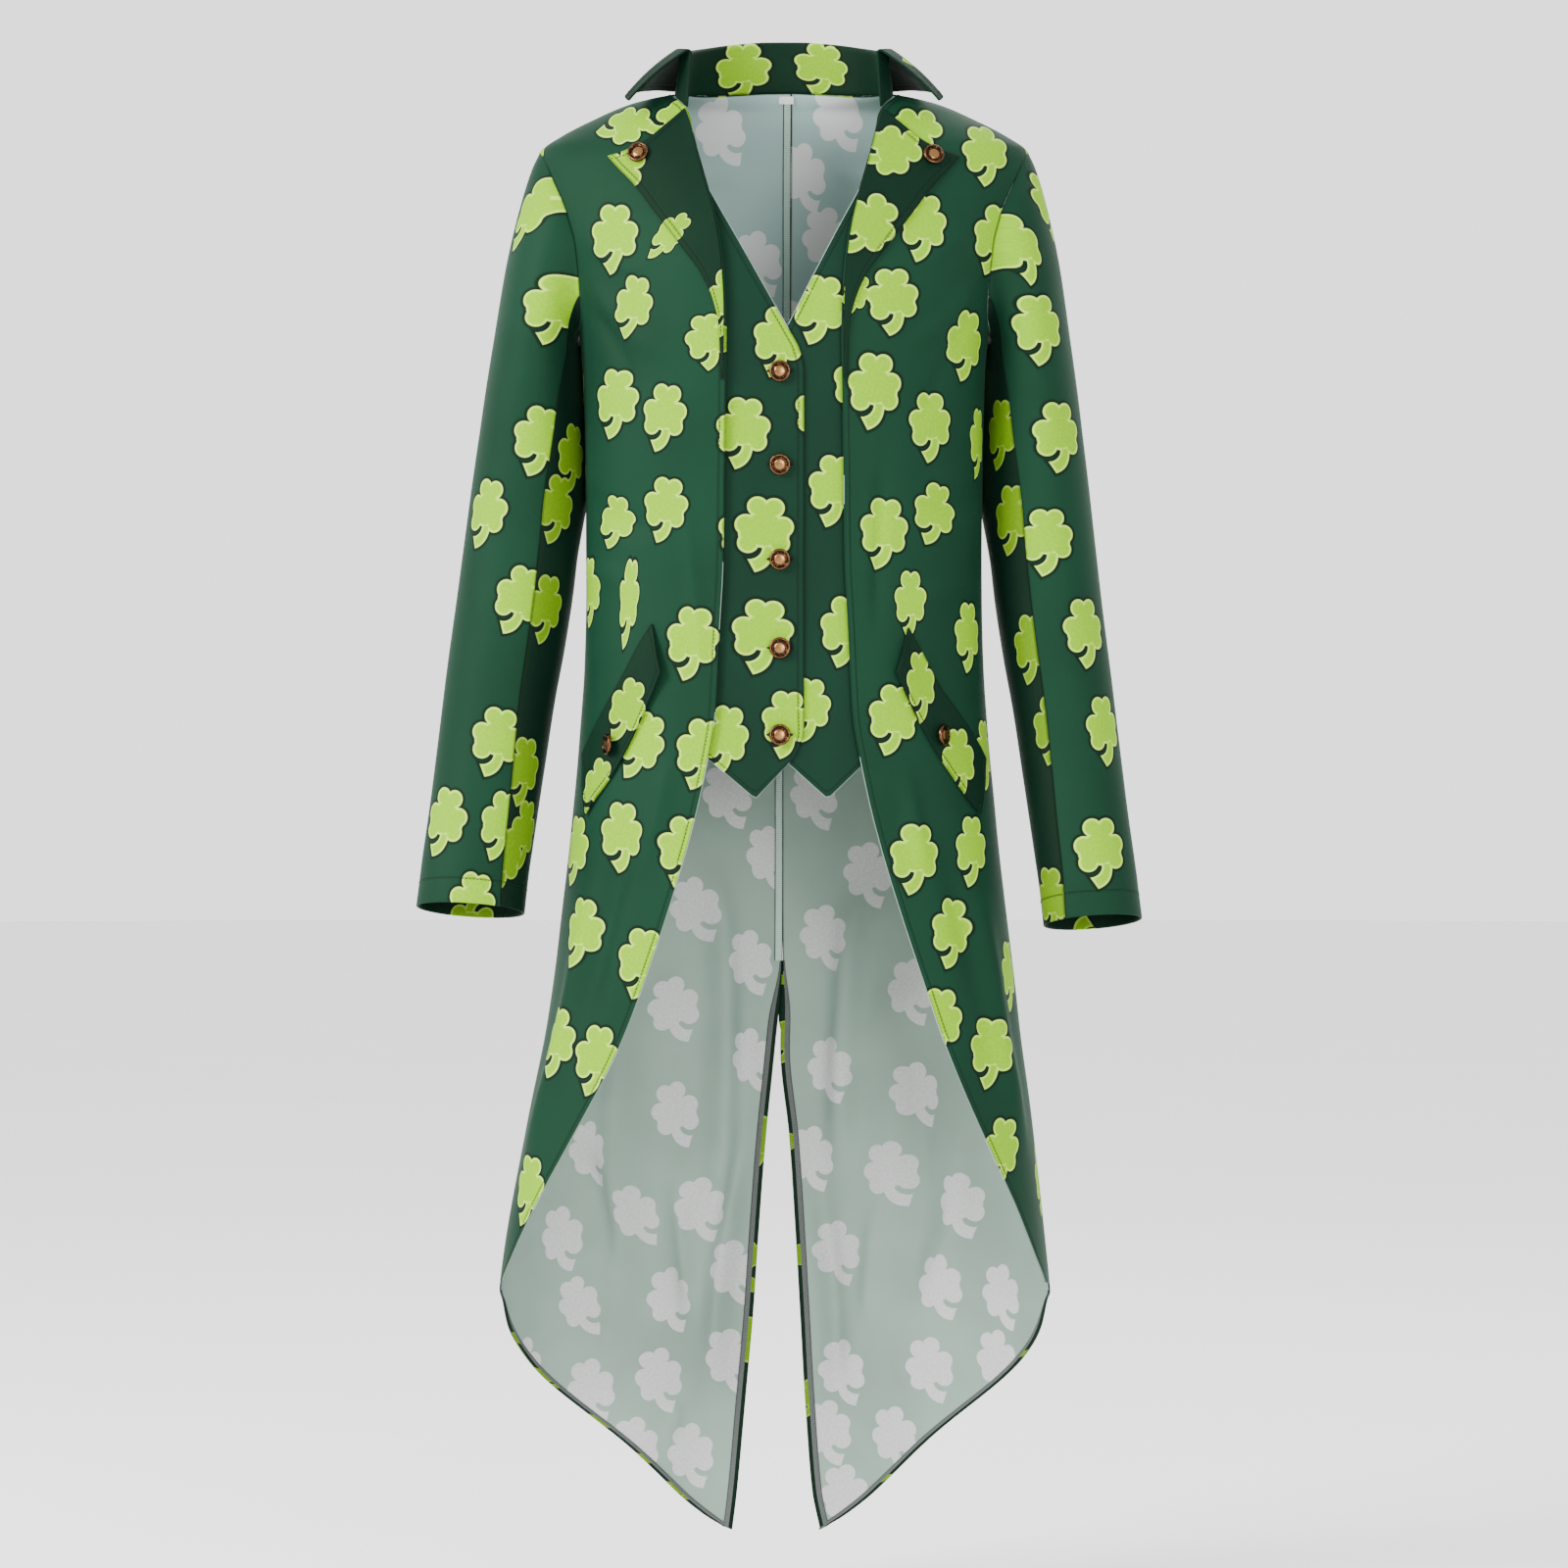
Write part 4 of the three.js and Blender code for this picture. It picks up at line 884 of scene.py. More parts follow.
def fill_places(sheet, placed, settings, seed, away=False):
    """Adds the staggered repeat where the camera doesn't look, clear of the given places."""
    rng = np.random.default_rng(seed)
    step_a, step_h = settings.repeat_across / MM, settings.repeat_down / MM
    columns, rows = repeat_steps(sheet.across, step_a), repeat_steps(sheet.height, step_h)
    a, h = np.meshgrid(columns * step_a, rows * step_h)
    h = h + np.where(columns % 2, step_h / 2, 0.0)[None, :]
    a = a.ravel() + rng.uniform(-UNEVEN_ACROSS, UNEVEN_ACROSS, a.size)
    h = h.ravel() + rng.uniform(-UNEVEN_DOWN, UNEVEN_DOWN, h.size)
    tilt = rng.uniform(*REPEAT_TILT, a.size)
    flat_a, flat_h = sheet.across.ravel(), sheet.height.ravel()
    hand = np.array(placed)[:, :2] if placed else np.full((1, 2), 1e6)
    found = list(placed)
    for i in range(a.size):
        gap = (flat_a - a[i]) ** 2 + (flat_h - h[i]) ** 2
        near = int(gap.argmin())
        if gap[near] > REPEAT_REACH**2 or np.hypot(*(hand - [a[i], h[i]]).T).min() < REPEAT_CLEAR:
            continue
        if not away and sheet.normals.reshape(-1, 3)[near, 1] < -0.12:
            continue
        found.append([a[i], h[i], tilt[i], 1.0, 1.0])
    return found


def edge_gap(sheet, edges):
    """Distance of each grid point from the nearest of the named edges, along its row or column."""
    across = step_lengths(sheet.points, 1)
    down = step_lengths(sheet.points)
    zero_a, zero_d = np.zeros((across.shape[0], 1)), np.zeros((1, down.shape[1]))
    gaps = {
        "left": np.hstack([zero_a, across.cumsum(1)]),
        "right": np.hstack([across[:, ::-1].cumsum(1)[:, ::-1], zero_a]),
        "top": np.vstack([zero_d, down.cumsum(0)]),
        "bottom": np.vstack([down[::-1].cumsum(0)[::-1], zero_d]),
    }
    return np.minimum.reduce([gaps[e] for e in edges])


def round_edge(number):
    """Point numbers once round the edge of a grid: along its top, right, bottom and left."""
    return np.concatenate([number[0, :-1], number[:-1, -1], number[-1, :0:-1], number[:0:-1, 0]])


def tube_faces(number):
    """Faces of a tube whose rings are the rows of a grid of point numbers."""
    a, c = number[:-1], number[1:]
    return np.stack([a, np.roll(a, -1, 1), np.roll(c, -1, 1), c], -1).reshape(-1, 4)


def cloth_object(name, sheet, placed, materials, rim_slots=(0, 0, 0, 0), pale_left=()):
    """A closed cloth: the outer face, the inner face a wall inside it, and a half round rim between them.
    rim_slots gives the material slot of the rim on the top, right, bottom and left edge, and pale_left the
    stretches of the left edge, as upper and lower height, where the raw edge shows pale."""
    points, normals, wall = sheet.points, sheet.normals, sheet.wall
    rows, columns = points.shape[:2]
    number = np.arange(rows * columns).reshape(rows, columns)
    loop = round_edge(number)
    edge = np.repeat([0, 1, 2, 3], [columns - 1, rows - 1, columns - 1, rows - 1])
    away = np.zeros_like(points)
    away[0] += unit(points[0] - points[1])
    away[-1] += unit(points[-1] - points[-2])
    away[:, -1] += unit(points[:, -1] - points[:, -2])
    away[:, 0] += unit(points[:, 0] - points[:, 1])
    away = unit(away.reshape(-1, 3)[loop])
    flat, out = points.reshape(-1, 3), normals.reshape(-1, 3)
    rim_normal = out[loop]
    away = unit(away - rim_normal * (away * rim_normal).sum(-1, keepdims=True))
    sweep = np.radians([45, 90, 135])[:, None, None]
    rings = flat[loop] + (wall / 2) * (np.sin(sweep) * away + (np.cos(sweep) - 1) * rim_normal)
    inner = flat - out * wall
    verts = np.concatenate([flat, inner, rings.reshape(-1, 3)])
    base = 2 * rows * columns
    a = number[:-1, :-1].ravel()
    quads_out = np.stack([a, a + 1, a + columns + 1, a + columns], 1)
    quads_in = quads_out[:, ::-1] + rows * columns
    chain = np.vstack([loop, base + np.arange(3 * len(loop)).reshape(3, -1), loop + rows * columns])
    now, after = chain, np.roll(chain, -1, axis=1)
    rim = [np.stack([after[k], now[k], now[k + 1], after[k + 1]], 1) for k in range(4)]
    quads = np.concatenate([quads_out, quads_in, *rim])
    rim_slot = np.array(rim_slots)[edge]
    for upper, lower in pale_left:
        rim_slot[(edge == 3) & (flat[loop, 2] < upper) & (flat[loop, 2] > lower)] = 1
    slots = np.concatenate([np.zeros(len(quads_out), int), np.ones(len(quads_in), int), *[rim_slot] * 4])
    corners = verts[quads]
    volume = np.einsum("ij,ij->i", corners[:, 0], np.cross(corners[:, 1], corners[:, 2])).sum()
    volume += np.einsum("ij,ij->i", corners[:, 0], np.cross(corners[:, 2], corners[:, 3])).sum()
    if volume < 0:
        quads = quads[:, ::-1]

    def carried(values):
        values = values.ravel()
        return np.concatenate([values, values, np.tile(values[loop], 3)])

    across, height, near = carried(sheet.across), carried(sheet.height), carried(sheet.near)
    near[base:] = 0.0
    maps = print_maps(across, height, quads, placed)
    maps["cloth"] = np.stack([across, height], -1)[quads] * MM
    # Way from the seam edges, along which a thin shade is painted
    seam = carried(edge_gap(sheet, ["left", "right", "top"]))
    maps["edge"] = np.stack([near, seam], -1)[quads] * 0.01
    return mesh_object(name, verts, quads, materials, slots, maps)


def print_maps(across, height, quads, placed):
    """Two maps of where each face corner lies in its nearest and its second shamrock, in units of 0.1 m."""
    if not len(placed):
        placed = [[9e3, 9e3, 0, 1, 1]]
    table = np.array(placed if len(placed) > 1 else list(placed) * 2, float)
    face_a, face_h = across[quads].mean(1), height[quads].mean(1)
    gap = (face_a[:, None] - table[None, :, 0]) ** 2 + (face_h[:, None] + 5 - table[None, :, 1]) ** 2
    order = np.argsort(gap, axis=1, kind="stable")
    maps = {}
    for key, rank in (("print_near", 0), ("print_next", 1)):
        a, h, tilt, size, width = table[order[:, rank]].T[:, :, None]
        du, dv = across[quads] - a, height[quads] - h
        turn = np.radians(tilt)
        u = (du * np.cos(turn) - dv * np.sin(turn)) / (size * width)
        v = (du * np.sin(turn) + dv * np.cos(turn)) / size
        maps[key] = np.stack([u, v], -1) * 0.01
    return maps


def mesh_object(name, verts, faces, materials, slots=None, maps=None):
    """Puts whole arrays into a mesh: places in metres, faces, material slots and maps per face corner."""
    mesh = bpy.data.meshes.new(name)
    mesh.from_pydata((verts * MM).tolist(), [], faces.tolist())
    for key, values in (maps or {}).items():
        mesh.uv_layers.new(name=key).data.foreach_set("uv", np.ascontiguousarray(values, np.float32).ravel())
    for material in materials:
        mesh.materials.append(material)
    if slots is not None:
        mesh.polygons.foreach_set("material_index", np.asarray(slots, np.int32))
    mesh.polygons.foreach_set("use_smooth", np.ones(len(faces), bool))
    mesh.update()
    obj = bpy.data.objects.new(name, mesh)
    bpy.context.scene.collection.objects.link(obj)
    return obj


def settle(obj, nodes=()):
    """The piece rides on the part's one body and stands for its CAD nodes, which are hidden."""
    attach(obj, "root")
    if nodes:
        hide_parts(*nodes)
    return obj


def declare_sheet(sheet):
    """Works out the cut's length: the longest column, or for a long piece the way straight down the cloth,
    with what its creases take up. The length is neither kept nor stated."""
    length = step_lengths(sheet.points).sum(0).max() * MM
    run = np.ptp(sheet.height) * MM
    if run > LONG_PIECE:
        length = min(length, CREASE_TAKE_UP * run)


class NodeBuilder:
    """Short ways to place nodes in a tree."""

    def __init__(self, tree):
        self.tree = tree

    def add(self, kind, **values):
        node = self.tree.nodes.new(kind)
        for key, value in values.items():
            setattr(node, key, value)
        return node

    def link(self, start, end):
        self.tree.links.new(start, end)

    def feed(self, socket, value):
        if isinstance(value, bpy.types.NodeSocket):
            self.link(value, socket)
        elif value is not None:
            socket.default_value = value

    def maths(self, operation, a, b=None, c=None, clamp=False):
        node = self.add("ShaderNodeMath", operation=operation, use_clamp=clamp)
        for socket, value in zip(node.inputs, (a, b, c)):
            self.feed(socket, value)
        return node.outputs[0]

    def vector(self, operation, a, b=None, out=0):
        node = self.add("ShaderNodeVectorMath", operation=operation)
        self.feed(node.inputs[0], a)
        self.feed(node.inputs[1], b)
        return node.outputs[out]

    def blend(self, share, a, b, way="MIX"):
        node = self.add("ShaderNodeMix", data_type="RGBA", blend_type=way)
        self.feed(node.inputs["Factor"], share)
        self.feed(node.inputs[6], a)
        self.feed(node.inputs[7], b)
        return node.outputs[2]

    def ramp(self, value, low, high, to_low=0.0, to_high=1.0):
        node = self.add("ShaderNodeMapRange", interpolation_type="SMOOTHSTEP")
        for socket, item in zip(node.inputs, (value, low, high, to_low, to_high)):
            self.feed(socket, item)
        return node.outputs[0]

    def noise(self, place, scale, detail=2.0, **values):
        """Value of a noise at a place."""
        node = self.add("ShaderNodeTexNoise", **values)
        self.link(place, node.inputs["Vector"])
        node.inputs["Scale"].default_value = scale
        node.inputs["Detail"].default_value = detail
        return node.outputs["Fac"]

    def object_place(self):
        return self.add("ShaderNodeTexCoord").outputs["Object"]

    def uv_map(self, name):
        return self.add("ShaderNodeUVMap", uv_map=name).outputs[0]

    def split(self, vector):
        """The three measures of a vector."""
        node = self.add("ShaderNodeSeparateXYZ")
        self.link(vector, node.inputs[0])
        return node.outputs

    def group(self, tree, given):
        """Outputs of a group whose named inputs are given."""
        node = self.add("ShaderNodeGroup", node_tree=tree)
        for label, value in given.items():
            self.feed(node.inputs[label], value)
        return node.outputs

    def bump(self, shader, height, strength, distance):
        """Raises a shader's surface by a height."""
        node = self.add("ShaderNodeBump")
        node.inputs["Strength"].default_value = strength
        node.inputs["Distance"].default_value = distance
        self.link(height, node.inputs["Height"])
        self.link(node.outputs[0], shader.inputs["Normal"])


def new_group(name, inputs, outputs):
    """An empty shader group with named sockets: name, socket type and default value."""
    tree = bpy.data.node_groups.new(name, "ShaderNodeTree")
    for label, kind, value in inputs:
        socket = tree.interface.new_socket(name=label, in_out="INPUT", socket_type=kind)
        if value is not None:
            socket.default_value = value
    for label, kind in outputs:
        tree.interface.new_socket(name=label, in_out="OUTPUT", socket_type=kind)
    build = NodeBuilder(tree)
    return tree, build, build.add("NodeGroupInput").outputs, build.add("NodeGroupOutput").inputs


def leaf_distance_group():
    """Distance in millimetres to a shamrock's outline, below zero inside: the least of its lobes and stem."""
    tree, b, given, made = new_group(
        "shamrock outline", [("Place", "NodeSocketVector", None)], [("Distance", "NodeSocketFloat")]
    )
    place = b.vector("MULTIPLY", given["Place"], (100.0, 100.0, 0.0))
    least = None
    for x, y, radius in LEAF_LOBES:
        lobe = b.maths("SUBTRACT", b.vector("DISTANCE", place, (x, y, 0.0), out=1), radius)
        least = lobe if least is None else b.maths("SMOOTH_MIN", least, lobe, LEAF_NOTCH)
    up = b.split(place)[1]
    half = b.ramp(up, -16.0, -31.0, STEM_HALF_TOP, STEM_HALF_END)
    ring = b.vector("DISTANCE", place, (*STEM_CENTRE, 0.0), out=1)
    stem = b.maths("SUBTRACT", b.maths("ABSOLUTE", b.maths("SUBTRACT", ring, STEM_RADIUS)), half)
    ended = b.vector("SUBTRACT", place, (*STEM_END, 0.0))
    stem = b.maths("MAXIMUM", stem, b.vector("DOT_PRODUCT", ended, (*STEM_END_WAY, 0.0), out=1))
    stem = b.maths("MAXIMUM", stem, b.maths("ADD", up, 12.0))
    b.link(b.maths("SMOOTH_MIN", least, stem, 0.8), made["Distance"])
    return tree


def print_group(outline):
    """Masks of the printed shamrocks: the leaf, the paler rim just inside it and the dark ring round it."""
    tree, b, given, made = new_group(
        "shamrock print",
        [
            ("Near", "NodeSocketVector", None),
            ("Next", "NodeSocketVector", None),
            ("Softness", "NodeSocketFloat", 0.35),
        ],
        [("Leaf", "NodeSocketFloat"), ("Rim", "NodeSocketFloat"), ("Ring", "NodeSocketFloat")],
    )
    found = [b.group(outline, {"Place": given[label]})["Distance"] for label in ("Near", "Next")]
    gap = b.maths("MINIMUM", *found)
    soft = given["Softness"]
    b.link(b.ramp(gap, soft, b.maths("MULTIPLY", soft, -1.0)), made["Leaf"])
    inside = b.ramp(gap, -2.3, -0.9)
    b.link(b.maths("MULTIPLY", inside, b.ramp(gap, soft, -0.4)), made["Rim"])
    b.link(b.ramp(gap, 3.4, 1.5), made["Ring"])
    return tree


def weave_group():
    """Fine twill: slanting ribs crossed by shorter floats, as a height and a light mask."""
    tree, b, given, made = new_group(
        "twill weave",
        [("Cloth", "NodeSocketVector", None), ("Ribs", "NodeSocketFloat", 1500.0)],
        [("Height", "NodeSocketFloat"), ("Slub", "NodeSocketFloat")],
    )
    scaled = b.vector("SCALE", given["Cloth"])
    b.link(given["Ribs"], scaled.node.inputs["Scale"])
    across, down = b.split(scaled)[:2]
    slant = b.maths("ADD", across, b.maths("MULTIPLY", down, 0.6))
    ribs = b.maths("SINE", b.maths("MULTIPLY", slant, math.tau))
    floats = b.maths("SINE", b.maths("MULTIPLY", down, math.tau * 1.7))
    b.link(b.maths("ADD", ribs, b.maths("MULTIPLY", floats, 0.4)), made["Height"])
    b.link(b.noise(given["Cloth"], 420.0, 3.0, noise_dimensions="2D"), made["Slub"])
    return tree


def sewn_edge_group():
    """Marks of a sewn edge: the dent of the topstitching, puckers beside it, and painted shade along the
    topstitching and at the seam edges.
    """
    tree, b, given, made = new_group(
        "sewn edge",
        [
            ("Edge", "NodeSocketVector", None),
            ("Place", "NodeSocketVector", None),
            ("Inset", "NodeSocketFloat", 4.6),
        ],
        [("Dent", "NodeSocketFloat"), ("Pucker", "NodeSocketFloat"), ("Shade", "NodeSocketFloat")],
    )
    near, seam = b.split(given["Edge"])[:2]
    gap = b.maths("MULTIPLY", near, 100.0)
    off = b.maths("ABSOLUTE", b.maths("SUBTRACT", gap, given["Inset"]))
    b.link(b.ramp(off, 1.1, 0.2), made["Dent"])
    painted_seam_shade = b.ramp(b.maths("MULTIPLY", seam, 100.0), 1.3, 0.2)
    b.link(b.maths("MAXIMUM", b.ramp(off, 0.9, 0.3), painted_seam_shade), made["Shade"])
    b.link(b.maths("MULTIPLY", b.ramp(gap, 12.0, 1.0), b.noise(given["Place"], 120.0)), made["Pucker"])
    return tree


def principled(name):
    """A new material with its builder and its shader node."""
    material = bpy.data.materials.new(name)
    material.use_nodes = True
    build = NodeBuilder(material.node_tree)
    shader = next(n for n in material.node_tree.nodes if n.type == "BSDF_PRINCIPLED")
    return material, build, shader


def colour(values):
    return (*values, 1.0)


# Heights in metres between which the wrong side's ground and leaves are painted paler and bluer towards the
# neck, as painted light inside the upper body
PAINTED_LIGHT_FROM = -0.5
PAINTED_LIGHT_TO = -0.12


def cloth_material(
    name, ground, leaf, rim, ring, inset, roughness, sheen, leaf_bump=0.12, shine=0.07, high=None
):
    """Printed cloth: ground and shamrocks, twill, sewn edges with painted shade along them, and slow changes
    of tone.
    high is for the wrong side, whose print has no rim or ring: its ground near the neck, painted paler and
    bluer as painted light, with paler leaves there."""
    material, b, shader = principled(name)
    groups, place = bpy.data.node_groups, b.object_place()
    near, second = b.uv_map("print_near"), b.uv_map("print_next")
    shapes = b.group(groups["shamrock print"], {"Near": near, "Next": second})
    weave = b.group(groups["twill weave"], {"Cloth": b.uv_map("cloth")})
    sewn = b.group(groups["sewn edge"], {"Edge": b.uv_map("edge"), "Place": place, "Inset": inset})
    tone = b.noise(place, 9.0, 3.0)
    varied = b.blend(b.ramp(tone, 0.3, 0.7), colour(ground * 0.9), colour(ground * 1.1))
    mottle = b.blend(b.ramp(weave["Slub"], 0.35, 0.7), colour(leaf * 0.93), colour(leaf * 1.05))
    if high is None:
        ringed = b.blend(b.maths("MULTIPLY", shapes["Ring"], 0.9), varied, colour(ring))
        leafed = b.blend(shapes["Leaf"], ringed, mottle)
        printed = b.blend(b.maths("MULTIPLY", shapes["Rim"], 0.8), leafed, colour(rim))
    else:
        # Painted light: the wrong side's ground and leaves grow paler and bluer towards the neck
        rise = b.ramp(b.split(place)[2], PAINTED_LIGHT_FROM, PAINTED_LIGHT_TO)
        varied = b.blend(rise, varied, colour(high))
        mottle = b.blend(rise, mottle, colour(leaf * 1.35))
        printed = b.blend(shapes["Leaf"], varied, mottle)
    # Painted shade: the ground darkened along the topstitching and at the seam edges
    stitched = b.blend(b.maths("MULTIPLY", sewn["Shade"], 0.5), printed, colour(ground * 0.35))
    ribs = b.maths("MULTIPLY", b.ramp(weave["Height"], -1.4, 1.4), 0.1)
    b.link(b.blend(ribs, stitched, (0, 0, 0, 1)), shader.inputs["Base Color"])
    height = b.maths("MULTIPLY", weave["Height"], 0.06)
    for value, share in (
        (weave["Slub"], 0.16),
        (sewn["Dent"], -0.7),
        (sewn["Pucker"], 0.5),
        (shapes["Leaf"], leaf_bump),
    ):
        height = b.maths("MULTIPLY_ADD", value, share, height)
    b.bump(shader, height, 0.55, 0.0006)
    b.link(b.ramp(shapes["Leaf"], 0.0, 1.0, roughness, roughness + 0.06), shader.inputs["Roughness"])
    shader.inputs["Sheen Weight"].default_value = sheen
    shader.inputs["Sheen Roughness"].default_value = 0.4
    shader.inputs["Sheen Tint"].default_value = (0.35, 0.8, 0.5, 1.0)
    shader.inputs["Specular IOR Level"].default_value = shine
    shader.inputs["Specular Tint"].default_value = (0.85, 1.0, 0.65, 1.0)
    return material


def thread_material(name, tint, roughness=0.55):
    """Sewing thread: a twisted ply drawn by slanting bands, with slow changes of tone."""
    material, b, shader = principled(name)
    place = b.object_place()
    band = b.add("ShaderNodeTexWave", wave_type="BANDS", bands_direction="DIAGONAL")
    b.link(place, band.inputs["Vector"])
    band.inputs["Scale"].default_value = 900.0
    band.inputs["Distortion"].default_value = 1.5
    ply = b.maths("MULTIPLY", band.outputs["Fac"], b.noise(place, 60.0))
    b.link(b.blend(ply, colour(tint * 0.75), colour(tint * 1.35)), shader.inputs["Base Color"])
    b.bump(shader, band.outputs["Fac"], 0.4, 0.0002)
    shader.inputs["Roughness"].default_value = roughness
    shader.inputs["Specular IOR Level"].default_value = 0.12
    return material


def brass_material(name, rim, hollow, boss):
    """Aged metal of a button: rim, sunk ring and boss by the turning's own map, with rubbed high spots."""
    material, b, shader = principled(name)
    radius = b.split(b.uv_map("turned"))[0]
    tone = b.noise(b.object_place(), 700.0, 4.0)
    base = b.blend(b.ramp(radius, 0.42, 0.56), colour(boss), colour(hollow))
    base = b.blend(b.ramp(radius, 0.78, 0.86), base, colour(rim))
    rubbed = b.maths("MULTIPLY", b.ramp(tone, 0.5, 0.75), 0.5)
    b.link(b.blend(rubbed, base, colour(boss * 1.3)), shader.inputs["Base Color"])
    b.link(b.ramp(tone, 0.3, 0.8, 0.2, 0.38), shader.inputs["Roughness"])
    shader.inputs["Metallic"].default_value = 1.0
    b.bump(shader, tone, 0.35, 0.0003)
    return material


OVERLOCK_STEP = 0.0016


def overlock_material(name, tint, painted_side_shade=0.12):
    """Overlocked raw edge: close threads across the strip, with painted shade along both of its sides."""
    material, b, shader = principled(name)
    share, along = b.split(b.uv_map("strip"))[:2]
    thread = b.maths("SINE", b.maths("MULTIPLY", along, math.tau / OVERLOCK_STEP))
    side = b.ramp(b.maths("ABSOLUTE", b.maths("SUBTRACT", share, 0.5)), 0.3, 0.48)
    base = b.blend(b.ramp(thread, -1.0, 1.0), colour(tint * 0.8), colour(tint * 1.15))
    # Painted shade darkens both sides of the strip
    base = b.blend(b.maths("MULTIPLY", side, 0.75), base, colour(tint * painted_side_shade))
    b.link(base, shader.inputs["Base Color"])
    b.bump(shader, thread, 0.5, 0.0003)
    shader.inputs["Roughness"].default_value = 0.8
    return material


def colour_property(name, description, default):
    return FloatVectorProperty(name=name, description=description, subtype="COLOR", size=3, default=default)


def share_property(name, description, default):
    return FloatProperty(name=name, description=description, default=default, min=0.0, max=1.0)


def length_property(name, description, default, least, most):
    return FloatProperty(
        name=name, description=description, default=default, min=least, max=most, unit="LENGTH"
    )


def power_property(name, description, default):
    return FloatProperty(
        name=name, description=description, default=default, min=0.0, max=2000.0, unit="POWER"
    )


class ClothSettings(PropertyGroup):
    """Grounds of the cloth"""

    front_ground: colour_property("Front ground", "Green of the fronts and sleeves", (0.0026, 0.0215, 0.0112))
    # Painted shade: the lapels, collar and flaps carry the fronts' print on a darker ground
    painted_shade_lapel_ground: colour_property(
        "Lapel ground, painted shade", "Green of the lapels, collar and flaps, darkened as painted shade", (0.0006, 0.0098, 0.0052)
    )
    # Painted shade: the waistcoat front, sunk behind the fronts, carries their print on a darker ground
    painted_shade_vest_ground: colour_property("Vest ground, painted shade", "Green of the waistcoat front, darkened as painted shade", (0.0018, 0.0152, 0.0088))
    # Painted shade: the under sleeves, the collar's fall, the turned edges and the cuff hems carry the print
    # on a nearly black ground
    painted_shade_ground: colour_property(
        "Painted shade ground", "Green of the under sleeves, collar fall and turned edges, darkened as painted shade", (0.0009, 0.0080, 0.0046)
    )
    wrong_ground: colour_property("Wrong side ground", "Pale wrong side of the cloth", (0.152, 0.214, 0.182))
    roughness: share_property("Roughness", "Roughness of the printed face", 0.58)
    sheen: share_property("Sheen", "Soft shine of the printed face", 0.03)


class PrintSettings(PropertyGroup):
    """Colours and repeat of the shamrocks"""

    leaf: colour_property("Leaf", "Lime of the shamrocks", (0.158, 0.332, 0.003))
    rim: colour_property("Rim", "Paler edge inside each shamrock", (0.360, 0.540, 0.070))
    ring: colour_property("Ring", "Dark ring round each shamrock", (0.0002, 0.0040, 0.0035))
    wrong_leaf: colour_property(
        "Wrong side leaf", "Shamrocks showing through on the wrong side", (0.350, 0.358, 0.354)
    )
    repeat_across: length_property("Repeat across", "Step of the repeat across the cloth", 0.078, 0.03, 0.3)
    repeat_down: length_property("Repeat down", "Step of the repeat down the cloth", 0.094, 0.03, 0.3)


class SewingSettings(PropertyGroup):
    """Sizes of the stitching"""

    inset: length_property("Inset", "Distance of the topstitching from an edge", 0.0046, 0.001, 0.02)
    pitch: length_property("Pitch", "Step from one stitch to the next", 0.0031, 0.001, 0.01)
    thread: length_property("Thread", "Thickness of the thread", 0.00055, 0.0002, 0.002)
    cuff_hem: length_property("Cuff hem", "Depth of the hem at the cuffs", 0.02, 0.005, 0.05)
    green: colour_property("Green thread", "Thread of the topstitching", (0.0015, 0.0120, 0.0060))
    grey: colour_property("Grey thread", "Thread of the overlocked edges", (0.048, 0.055, 0.052))


class StageSettings(PropertyGroup):
    """Lights and floor"""

    key_power: power_property("Key power", "Power of the large soft light in front", 350.0)
    fill_power: power_property("Fill power", "Power of the soft light near the camera", 150.0)
    world_strength: FloatProperty(
        name="Surround", description="Strength of the pale surround", default=2.0, min=0.0, max=5.0
    )
    floor_height: length_property("Floor height", "Height of the floor below the shoulders", -1.29, -3.0, 0.0)


def settings():
    scene = bpy.context.scene
    return SimpleNamespace(
        cloth=scene.coat_cloth, print=scene.coat_print, sewing=scene.coat_sewing, stage=scene.coat_stage
    )


# Aged brass of the buttons: rim, sunk ring, boss
BRASS_TONES = ((0.075, 0.032, 0.015), (0.012, 0.006, 0.004), (0.19, 0.095, 0.035))
LABEL_WHITE = (0.62, 0.62, 0.60)
# Painted light: how much paler and bluer the wrong side's ground is painted near the neck
WRONG_SIDE_PAINTED_LIGHT = (1.48, 1.52, 1.70)


